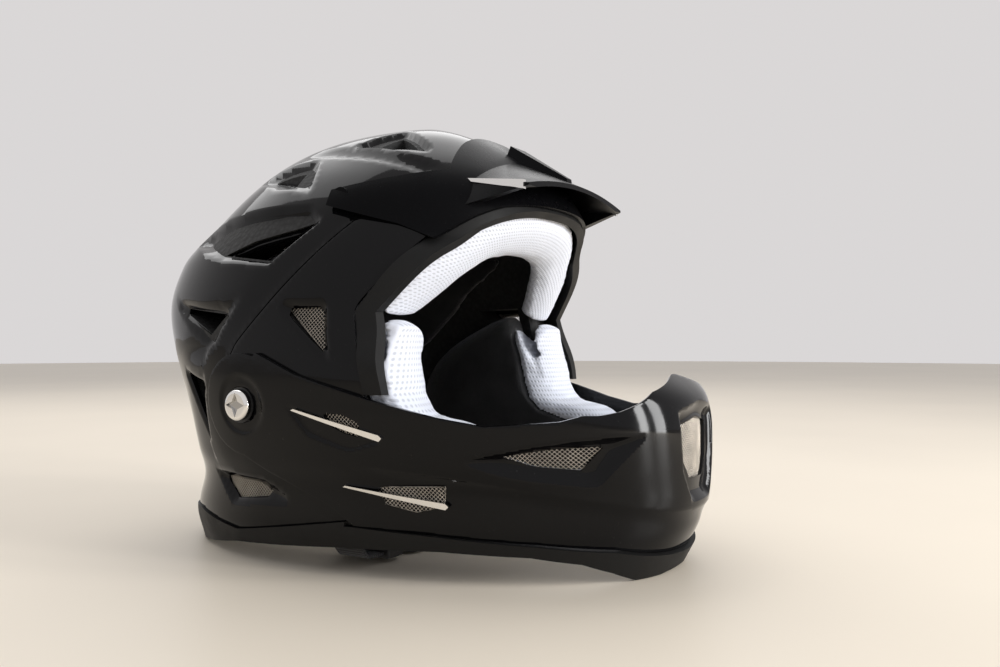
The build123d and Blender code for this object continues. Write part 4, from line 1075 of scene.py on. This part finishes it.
def wire_screen(name, outline, to_surface, pitch, thickness):
    """Woven screen: a diagonal grid cut to an outline, laid on the skin and given round wires."""
    corners = np.array(outline) * MILLIMETRE
    centre = corners.mean(axis=0)
    half = np.abs(corners - centre).max() * SCREEN_COVER
    cells = int(2 * half / pitch)
    deselect_all()
    bpy.ops.mesh.primitive_grid_add(x_subdivisions=cells, y_subdivisions=cells, size=2 * half,
                                    location=(centre[0], centre[1], 0))
    piece = bpy.context.object
    piece.name = piece.data.name = name
    bpy.ops.object.mode_set(mode="EDIT")
    bpy.ops.mesh.select_all(action="SELECT")
    bpy.ops.transform.rotate(value=math.radians(45), orient_axis="Z",
                             center_override=(centre[0], centre[1], 0))
    turned = sum(a[0] * b[1] - b[0] * a[1] for a, b in zip(corners, np.roll(corners, -1, axis=0)))
    ordered = corners if turned > 0 else corners[::-1]
    for a, b in zip(ordered, np.roll(ordered, -1, axis=0)):
        out = Vector((b[1] - a[1], a[0] - b[0], 0)).normalized()
        bpy.ops.mesh.select_all(action="SELECT")
        bpy.ops.mesh.bisect(plane_co=(a[0], a[1], 0), plane_no=out, clear_outer=True, threshold=CUT_CLOSE)
    bpy.ops.object.mode_set(mode="OBJECT")
    bpy.ops.object.transform_apply(location=True, rotation=True, scale=True)
    flat = vertex_places(piece)
    place_vertices(piece, to_surface(flat[:, 0], flat[:, 1]))
    finish_modifier(piece, "WIREFRAME", thickness=thickness, use_even_offset=False, use_replace=True)
    painted(piece, found_material("Wire Mesh"))
    bpy.ops.object.shade_smooth()
    return piece


def on_side(offset, sign):
    return lambda y, z: np.stack([sign * skin_x(y, z, offset), y, z], axis=-1)


def on_front(offset):
    """Places on the front of the skin from x and z."""
    def place(x, z):
        low, high = np.full(len(x), AHEAD), np.zeros(len(x))
        for _ in range(30):
            middle = (low + high) / 2
            short = skin_x(middle, z, offset) < np.abs(x) + 0.0001
            low, high = np.where(short, middle, low), np.where(short, high, middle)
        return np.stack([x, high, z], axis=-1)
    return place


# Outlines of the screens, a little larger than their windows, and how far they lie off the skin
side_grilles = {
    "side": ([(14.0, 143.0), (-14.0, 143.5), (-18.0, 113.0)], -0.0048),
    "rear": ([(79.0, 49.0), (61.0, 31.0), (16.0, 36.5), (38.0, 47.5)], -0.0048),
    "chin_side": ([(-98.0, 66.0), (-128.0, 72.0), (-156.0, 73.5), (-144.0, 54.5), (-120.0, 56.5)], -0.0036),
    "slot_upper": ([(-12.0, 90.0), (-28.0, 89.0), (-40.0, 84.0), (-41.0, 72.0), (-26.0, 73.5), (-13.0, 80.0)],
                   0.0004),
    "slot_lower": ([(-32.0, 47.0), (-44.0, 49.0), (-77.0, 50.5), (-75.0, 40.0), (-61.0, 36.5), (-40.0, 40.5)],
                   0.0012),
}
front_grille = [(0.0, 92.0), (25.0, 87.0), (24.0, 52.0), (13.0, 37.0), (0.0, 37.0)]


class HELMET_OT_grilles(bpy.types.Operator):
    """Weaves the wire mesh behind the windows"""
    bl_idname = "helmet.grilles"
    bl_label = "Wire Mesh"

    def execute(self, context):
        size = context.scene.helmet_sizes
        for name, (outline, offset) in side_grilles.items():
            for hand, sign in hands:
                node = "grille_" + name + "_" + hand
                piece = wire_screen("wire_" + name + "_" + hand, outline, on_side(offset, sign),
                                    size.wire_pitch, size.wire_thickness)
                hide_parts(node)
                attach(piece, "helmet")
        piece = wire_screen("wire_chin_front", mirrored_outline(front_grille), on_front(FRONT_SCREEN_OFF),
                            size.wire_pitch, size.wire_thickness)
        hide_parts("grille_chin_front")
        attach(piece, "helmet")
        return {"FINISHED"}


# Padding: sizes of the covers' cells, the centre and radius that the brow arches round, the slant of
# the weave, the fade of the sag, and the sizes of the slot for glasses and of the seam
BROW_CELL = 0.003
CHEEK_CELL = 0.0018
LINING_CELL = 0.0036
BROW_CENTRE = 0.1
BROW_RADIUS = 0.1
WEAVE_SHEAR = 0.5
SAG_FADE = 0.014
SLOT_PUSH = 0.0011
SLOT_HALF, SLOT_FADE = 0.004, 0.008
SLOT_FOOT, SLOT_FOOT_FADE = 0.096, 0.006
SEAM_DEPTH = 0.0018
SEAM_WIDTH = 0.0016

# Middle of the slot for glasses, in millimetres of the side view, from its tip up, its rear on the right
slot_line = [(-44.9, 101.1), (-22.3, 158.7)]
# Seam between the white and the black fabric of a cheek pad, from the top down
cheek_seam = [(-18.0, 150.0), (-23.7, 130.0), (-30.7, 112.4), (-34.5, 94.8), (-38.3, 85.5), (-46.0, 78.0),
              (-61.6, 73.0), (-130.0, 55.0)]


def pad_body(node, name, voxel):
    """Closed cover of a pad, remeshed from its solid."""
    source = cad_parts[node]
    piece = bpy.data.objects.new(name, source.data.copy())
    bpy.context.scene.collection.objects.link(piece)
    choose(piece)
    bpy.ops.object.mode_set(mode="EDIT")
    bpy.ops.mesh.select_all(action="SELECT")
    bpy.ops.mesh.remove_doubles(threshold=WELD / 2)
    bpy.ops.object.mode_set(mode="OBJECT")
    finish_modifier(piece, "REMESH", mode="VOXEL", voxel_size=voxel, adaptivity=0.0)
    finish_modifier(piece, "SMOOTH", factor=0.5, iterations=4)
    return piece


def stuff(piece, swell, frames=20):
    """Swells a cover with stuffing, capped at swell, by a short cloth run."""
    start = vertex_places(piece)
    choose(piece)
    cloth = piece.modifiers.new("Cloth", "CLOTH")
    cloth.settings.quality = 4
    cloth.settings.use_pressure = True
    cloth.settings.uniform_pressure_force = 4.0
    cloth.settings.effector_weights.gravity = 0.0
    cloth.settings.tension_stiffness = 12.0
    cloth.point_cache.frame_start = 1
    cloth.point_cache.frame_end = frames
    for number in range(1, frames + 1):
        bpy.context.scene.frame_set(number)
    shift = vertex_places(piece.evaluated_get(bpy.context.evaluated_depsgraph_get())) - start
    piece.modifiers.remove(cloth)
    bpy.context.scene.frame_set(1)
    far = np.maximum(np.linalg.norm(shift, axis=1), 1e-9)
    shift *= np.minimum(1.0, swell / far)[:, None]
    place_vertices(piece, start + shift)


def settle(piece, still, moved, down, back, rear=0.2):
    """Lets the front of a pad sag: nothing moves at the level still, all of it beyond the level moved."""
    places = vertex_places(piece)
    share = ease((places[:, 2] - still) / (moved - still)) * ease((rear - places[:, 1]) / SAG_FADE)
    places[:, 1] += back * share
    places[:, 2] -= down * share
    place_vertices(piece, places)


def open_slot(piece):
    """Presses the walls of the slot for glasses apart."""
    places = vertex_places(piece)
    aside = signed_line(side_view(places), slot_line)
    near = 1 - ease((np.abs(aside) - SLOT_HALF) / SLOT_FADE)
    above = ease((places[:, 2] - SLOT_FOOT) / SLOT_FOOT_FADE)
    places[:, 1] += -SLOT_PUSH * np.sign(aside) * near * above
    place_vertices(piece, places)


def lay_weave(piece, to_uv):
    """Writes the weave's UV map from each corner's place."""
    layer = piece.data.uv_layers.get(WEAVE) or piece.data.uv_layers.new(name=WEAVE)
    flat = to_uv(vertex_places(piece))
    for loop in piece.data.loops:
        layer.data[loop.index].uv = flat[loop.vertex_index]


def brow_weave(p):
    """Runs round the brow, and from its front to the back."""
    across, up = p[:, 0], p[:, 2] - BROW_CENTRE
    v = (p[:, 1] - np.hypot(across, up)) * 0.75
    return np.stack([np.arctan2(up, across) * BROW_RADIUS + WEAVE_SHEAR * v, v], axis=-1)


def side_weave(p):
    """Runs along the side of the head, and up."""
    across = np.abs(p[:, 0]) - p[:, 1]
    return np.stack([across + WEAVE_SHEAR * p[:, 2], p[:, 2]], axis=-1)


def press_seam(piece, line):
    """Presses a seam into a pad along a line of the side view."""
    places = vertex_places(piece)
    normals = np.array([v.normal[:] for v in piece.data.vertices])
    sink = SEAM_DEPTH * np.exp(-(signed_line(side_view(places), line) / SEAM_WIDTH) ** 2)
    place_vertices(piece, places - normals * sink[:, None])


def cut_along(piece, line):
    """Cuts a pad's faces along a line of the side view, so that two fabrics meet in a clean seam."""
    choose(piece)
    bpy.ops.object.mode_set(mode="EDIT")
    for (ay, az), (by, bz) in zip(line[:-1], line[1:]):
        bpy.ops.mesh.select_all(action="SELECT")
        bpy.ops.mesh.bisect(plane_co=(0.0, ay * MILLIMETRE, az * MILLIMETRE),
                            plane_no=Vector((0.0, bz - az, ay - by)).normalized(), threshold=CUT_CLOSE)
    bpy.ops.object.mode_set(mode="OBJECT")


def swell_of(context):
    return context.scene.helmet_sizes.pad_swell


class HELMET_OT_brow_pad(bpy.types.Operator):
    """Pads the arch over the eyes in white spacer fabric"""
    bl_idname = "helmet.brow_pad"
    bl_label = "Brow Pad"

    def execute(self, context):
        piece = pad_body("brow_pad", "brow_cushion", BROW_CELL)
        settle(piece, still=0.172, moved=0.148, down=0.005, back=0.0038)
        stuff(piece, swell_of(context))
        finish_modifier(piece, "SUBSURF", levels=1, render_levels=1)
        lay_weave(piece, brow_weave)
        painted(piece, found_material("Brow Mesh"))
        smooth(piece)
        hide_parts("brow_pad")
        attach(piece, "helmet")
        return {"FINISHED"}


class HELMET_OT_cheek_pads(bpy.types.Operator):
    """Pads the cheeks: white spacer fabric in front, black lining behind"""
    bl_idname = "helmet.cheek_pads"
    bl_label = "Cheek Pads"

    def execute(self, context):
        for hand, _ in hands:
            piece = pad_body("cheek_pad_" + hand, "cheek_cushion_" + hand, CHEEK_CELL)
            settle(piece, still=0.122, moved=0.142, down=0.006, back=0.0, rear=-0.012)
            open_slot(piece)
            stuff(piece, swell_of(context))
            finish_modifier(piece, "SUBSURF", levels=1, render_levels=1)
            cut_along(piece, cheek_seam)
            press_seam(piece, cheek_seam)
            lay_weave(piece, side_weave)
            painted(piece, found_material("Cheek Mesh"), found_material("Black Velvet"))
            centres = np.array([face.center[:] for face in piece.data.polygons])
            for face, behind in zip(piece.data.polygons, signed_line(side_view(centres), cheek_seam)):
                face.material_index = int(behind > 0)
            smooth(piece)
            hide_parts("cheek_pad_" + hand)
            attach(piece, "helmet")
        return {"FINISHED"}


class HELMET_OT_comfort_pads(bpy.types.Operator):
    """Lines the crown, the temples and the nape in black velvet"""
    bl_idname = "helmet.comfort_pads"
    bl_label = "Comfort Pads"

    def execute(self, context):
        for node in ("crown_pad", "side_pad_left", "side_pad_right", "neck_pad"):
            piece = pad_body(node, node.replace("_pad", "_cushion"), LINING_CELL)
            stuff(piece, swell_of(context), 12)
            finish_modifier(piece, "SUBSURF", levels=1, render_levels=1)
            lay_weave(piece, side_weave)
            painted(piece, found_material("Black Velvet"))
            smooth(piece)
            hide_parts(node)
            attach(piece, "helmet")
        return {"FINISHED"}


# Chin strap: its sizes, its route as (x, z) in millimetres, and where each half ends at the buckle
STRAP_WIDTH = 0.0196
STRAP_THICKNESS = 0.0015
STRAP_MIDDLE = -0.0081
STRAP_CELL = 0.0012
RIB_HEIGHT = 0.00006
RIB_PITCH = 0.0024
strap_route = [(102.9, 50.9), (102.9, 44.0), (102.5, 36.9), (95.4, 29.0), (91.2, 15.0), (82.0, 5.2),
               (68.0, 4.7)]
strap_ends = {"left": 38.0, "right": 41.8}


def webbing_strip(name, sign, end):
    """Ribbed strap laid along its route from the rivet to the buckle."""
    route = np.array(strap_route + [(end, strap_route[-1][1])]) * MILLIMETRE
    way = np.concatenate([[0.0], np.cumsum(np.hypot(*np.diff(route, axis=0).T))])

    def along(distance):
        return smooth_table(way, route[:, 0], distance), smooth_table(way, route[:, 1], distance)

    deselect_all()
    bpy.ops.mesh.primitive_grid_add(x_subdivisions=int(way[-1] / STRAP_CELL), y_subdivisions=12, size=1.0)
    piece = bpy.context.object
    piece.name = piece.data.name = name
    flat = vertex_places(piece)
    at = (flat[:, 0] + 0.5) * way[-1]
    x, z = along(at)
    back = along(np.maximum(at - 0.001, 0.0))
    tilt = np.stack([z - back[1], back[0] - x], axis=-1)
    tilt /= np.maximum(np.linalg.norm(tilt, axis=1), 1e-9)[:, None]
    ribs = RIB_HEIGHT * np.sin(at / RIB_PITCH * 2 * math.pi) * ease((0.5 - np.abs(flat[:, 1])) / 0.06)
    across = flat[:, 1] * STRAP_WIDTH
    place_vertices(piece, np.stack([sign * (x + tilt[:, 0] * ribs), STRAP_MIDDLE + across,
                                    z + tilt[:, 1] * ribs], axis=-1))
    piece.data.uv_layers.active.name = WEAVE
    lay_weave(piece, lambda p: np.stack([at, across], axis=-1))
    finish_modifier(piece, "SOLIDIFY", thickness=STRAP_THICKNESS, offset=0.0)
    turn_out(piece)
    smooth_by_angle(piece, 40)
    return piece


class HELMET_OT_straps(bpy.types.Operator):
    """Lays the two straps of woven webbing from their rivets to the buckle"""
    bl_idname = "helmet.straps"
    bl_label = "Straps"

    def execute(self, context):
        for hand, sign in hands:
            piece = webbing_strip("webbing_" + hand, sign, strap_ends[hand])
            painted(piece, found_material("Webbing"))
            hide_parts("strap_" + hand)
            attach(piece, "helmet")
        return {"FINISHED"}


# Finishes of the pieces whose solids stay
node_finishes = {
    "eps_liner": "Bead Foam", "chin_liner_left": "Bead Foam", "chin_liner_right": "Bead Foam",
    "blade_upper_left": "Bright Silver", "blade_upper_right": "Bright Silver",
    "blade_lower_left": "Bright Silver", "blade_lower_right": "Bright Silver",
    "visor_accent_left": "Bright Silver", "visor_accent_right": "Bright Silver",
    "rim_trim_rear": "Trim Rubber", "rim_trim_front": "Trim Rubber", "eyeport_trim": "Trim Rubber",
    "chin_screw_left": "Chrome", "chin_screw_right": "Chrome", "chin_washers": "Buckle Plastic",
    "chin_inserts": "Steel", "visor_pivot_pins": "Steel", "strap_rivets": "Steel",
    "visor": "Satin Lacquer", "visor_hood": "Satin Lacquer",
    "strap_slider": "Buckle Plastic", "buckle_socket": "Buckle Plastic", "buckle_plug": "Buckle Plastic",
}


class HELMET_OT_hardware(bpy.types.Operator):
    """Gives the solids that stay their finishes"""
    bl_idname = "helmet.hardware"
    bl_label = "Hardware"

    def execute(self, context):
        for node, finish in node_finishes.items():
            painted(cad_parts[node], found_material(finish))
        return {"FINISHED"}


# Stage: lamps as name, place, target, width and height, and the setting with their power
lamps = (
    ("sky_lamp", (0.55, 0.75, 1.5), (0.0, 0.0, 0.12), (2.2, 1.6), "key_power"),
    ("window_left", (0.02, -1.5, 0.42), (0.0, -0.12, 0.08), (0.17, 0.9), "window_power"),
    ("window_right", (0.36, -1.45, 0.42), (0.0, -0.12, 0.08), (0.24, 0.9), "window_power"),
)
FLOOR_RADIUS = 5.0
FLOOR_DROP = 0.0004
ROOM_STRENGTH = 0.55
room_colour = (0.9, 0.93, 1.0)
camera_place = (-0.4888, -0.3311, 0.124)
camera_look = (0.8686, 0.4955, 0.0)
CAMERA_LENS = 33.48
CAMERA_SENSOR = 36.0
CAMERA_SHIFT = 0.0065


def turned_to(direction):
    """Turn that points a lamp or a camera in a direction."""
    return Vector(direction).to_track_quat("-Z", "Y").to_euler()


class HELMET_OT_stage(bpy.types.Operator):
    """Sets the floor, the lamps and the camera"""
    bl_idname = "helmet.stage"
    bl_label = "Stage"

    def execute(self, context):
        settings = context.scene.helmet_stage
        deselect_all()
        bpy.ops.mesh.primitive_circle_add(vertices=96, radius=FLOOR_RADIUS, fill_type="NGON",
                                          location=(0, 0, -FLOOR_DROP))
        floor = context.object
        floor.name = "floor"
        material, tree, shader = new_material("Pale Floor", tuple(settings.floor), 0.45)
        drift = object_noise(tree, 3.0, 3.0)
        patches = ranged(tree, drift.outputs["Fac"], 0.0, 1.0, 0.3, 0.7)
        colour_by(tree, shader, patches, shade(settings.floor, 0.96), tuple(settings.floor))
        painted(floor, material)
        self.light_world(context, settings)
        for name, place, target, size, power in lamps:
            self.add_lamp(name, place, target, size, getattr(settings, power))
        self.add_camera(context)
        context.scene.view_settings.view_transform = "Standard"
        return {"FINISHED"}

    def light_world(self, context, settings):
        world = bpy.data.worlds.new("Room")
        context.scene.world = world
        world.use_nodes = True
        tree = world.node_tree
        ground = tree.nodes["Background"]
        ground.inputs["Color"].default_value = (*room_colour, 1.0)
        ground.inputs["Strength"].default_value = ROOM_STRENGTH
        seen = tree.nodes.new("ShaderNodeBackground")
        seen.inputs["Color"].default_value = (*settings.backdrop, 1.0)
        seen.inputs["Strength"].default_value = 1.0
        path = tree.nodes.new("ShaderNodeLightPath")
        direct = math_node(tree, "MAXIMUM", path.outputs["Is Camera Ray"], path.outputs["Is Glossy Ray"])
        shown = math_node(tree, "MAXIMUM", direct, path.outputs["Is Transmission Ray"])
        mix = tree.nodes.new("ShaderNodeMixShader")
        tree.links.new(shown, mix.inputs[0])
        tree.links.new(ground.outputs[0], mix.inputs[1])
        tree.links.new(seen.outputs[0], mix.inputs[2])
        tree.links.new(mix.outputs[0], tree.nodes["World Output"].inputs["Surface"])

    def add_lamp(self, name, place, target, size, power):
        data = bpy.data.lights.new(name, "AREA")
        data.shape = "RECTANGLE"
        data.size, data.size_y, data.energy = *size, power
        lamp = bpy.data.objects.new(name, data)
        bpy.context.scene.collection.objects.link(lamp)
        lamp.location = place
        lamp.rotation_euler = turned_to(Vector(target) - Vector(place))

    def add_camera(self, context):
        data = bpy.data.cameras.new("camera")
        camera = bpy.data.objects.new("camera", data)
        context.scene.collection.objects.link(camera)
        camera.location = camera_place
        camera.rotation_euler = turned_to(camera_look)
        data.lens, data.sensor_width, data.shift_y = CAMERA_LENS, CAMERA_SENSOR, CAMERA_SHIFT
        data.clip_start = 0.01
        context.scene.camera = camera


class HELMET_PT_panel(bpy.types.Panel):
    bl_idname = "HELMET_PT_panel"
    bl_label = "Helmet"
    bl_space_type = "VIEW_3D"
    bl_region_type = "UI"
    bl_category = "Helmet"

    def draw(self, context):
        for group in (context.scene.helmet_finish, context.scene.helmet_sizes, context.scene.helmet_stage):
            box = self.layout.box()
            for key in group.__annotations__:
                box.prop(group, key)
        for step in steps:
            self.layout.operator(step.bl_idname)


steps = (HELMET_OT_shell, HELMET_OT_chin_guard, HELMET_OT_grilles, HELMET_OT_brow_pad, HELMET_OT_cheek_pads,
         HELMET_OT_comfort_pads, HELMET_OT_straps, HELMET_OT_hardware, HELMET_OT_stage)
classes = (HelmetFinish, HelmetSizes, StageSettings) + steps + (HELMET_PT_panel,)


def register():
    for item in classes:
        bpy.utils.register_class(item)
    bpy.types.Scene.helmet_finish = bpy.props.PointerProperty(type=HelmetFinish)
    bpy.types.Scene.helmet_sizes = bpy.props.PointerProperty(type=HelmetSizes)
    bpy.types.Scene.helmet_stage = bpy.props.PointerProperty(type=StageSettings)


def unregister():
    del bpy.types.Scene.helmet_finish
    del bpy.types.Scene.helmet_sizes
    del bpy.types.Scene.helmet_stage
    for item in reversed(classes):
        bpy.utils.unregister_class(item)


def main():
    """Registers the classes and runs each step in order."""
    register()
    for step in steps:
        group, name = step.bl_idname.split(".")
        getattr(getattr(bpy.ops, group), name)()


if __name__ == "__main__":
    main()
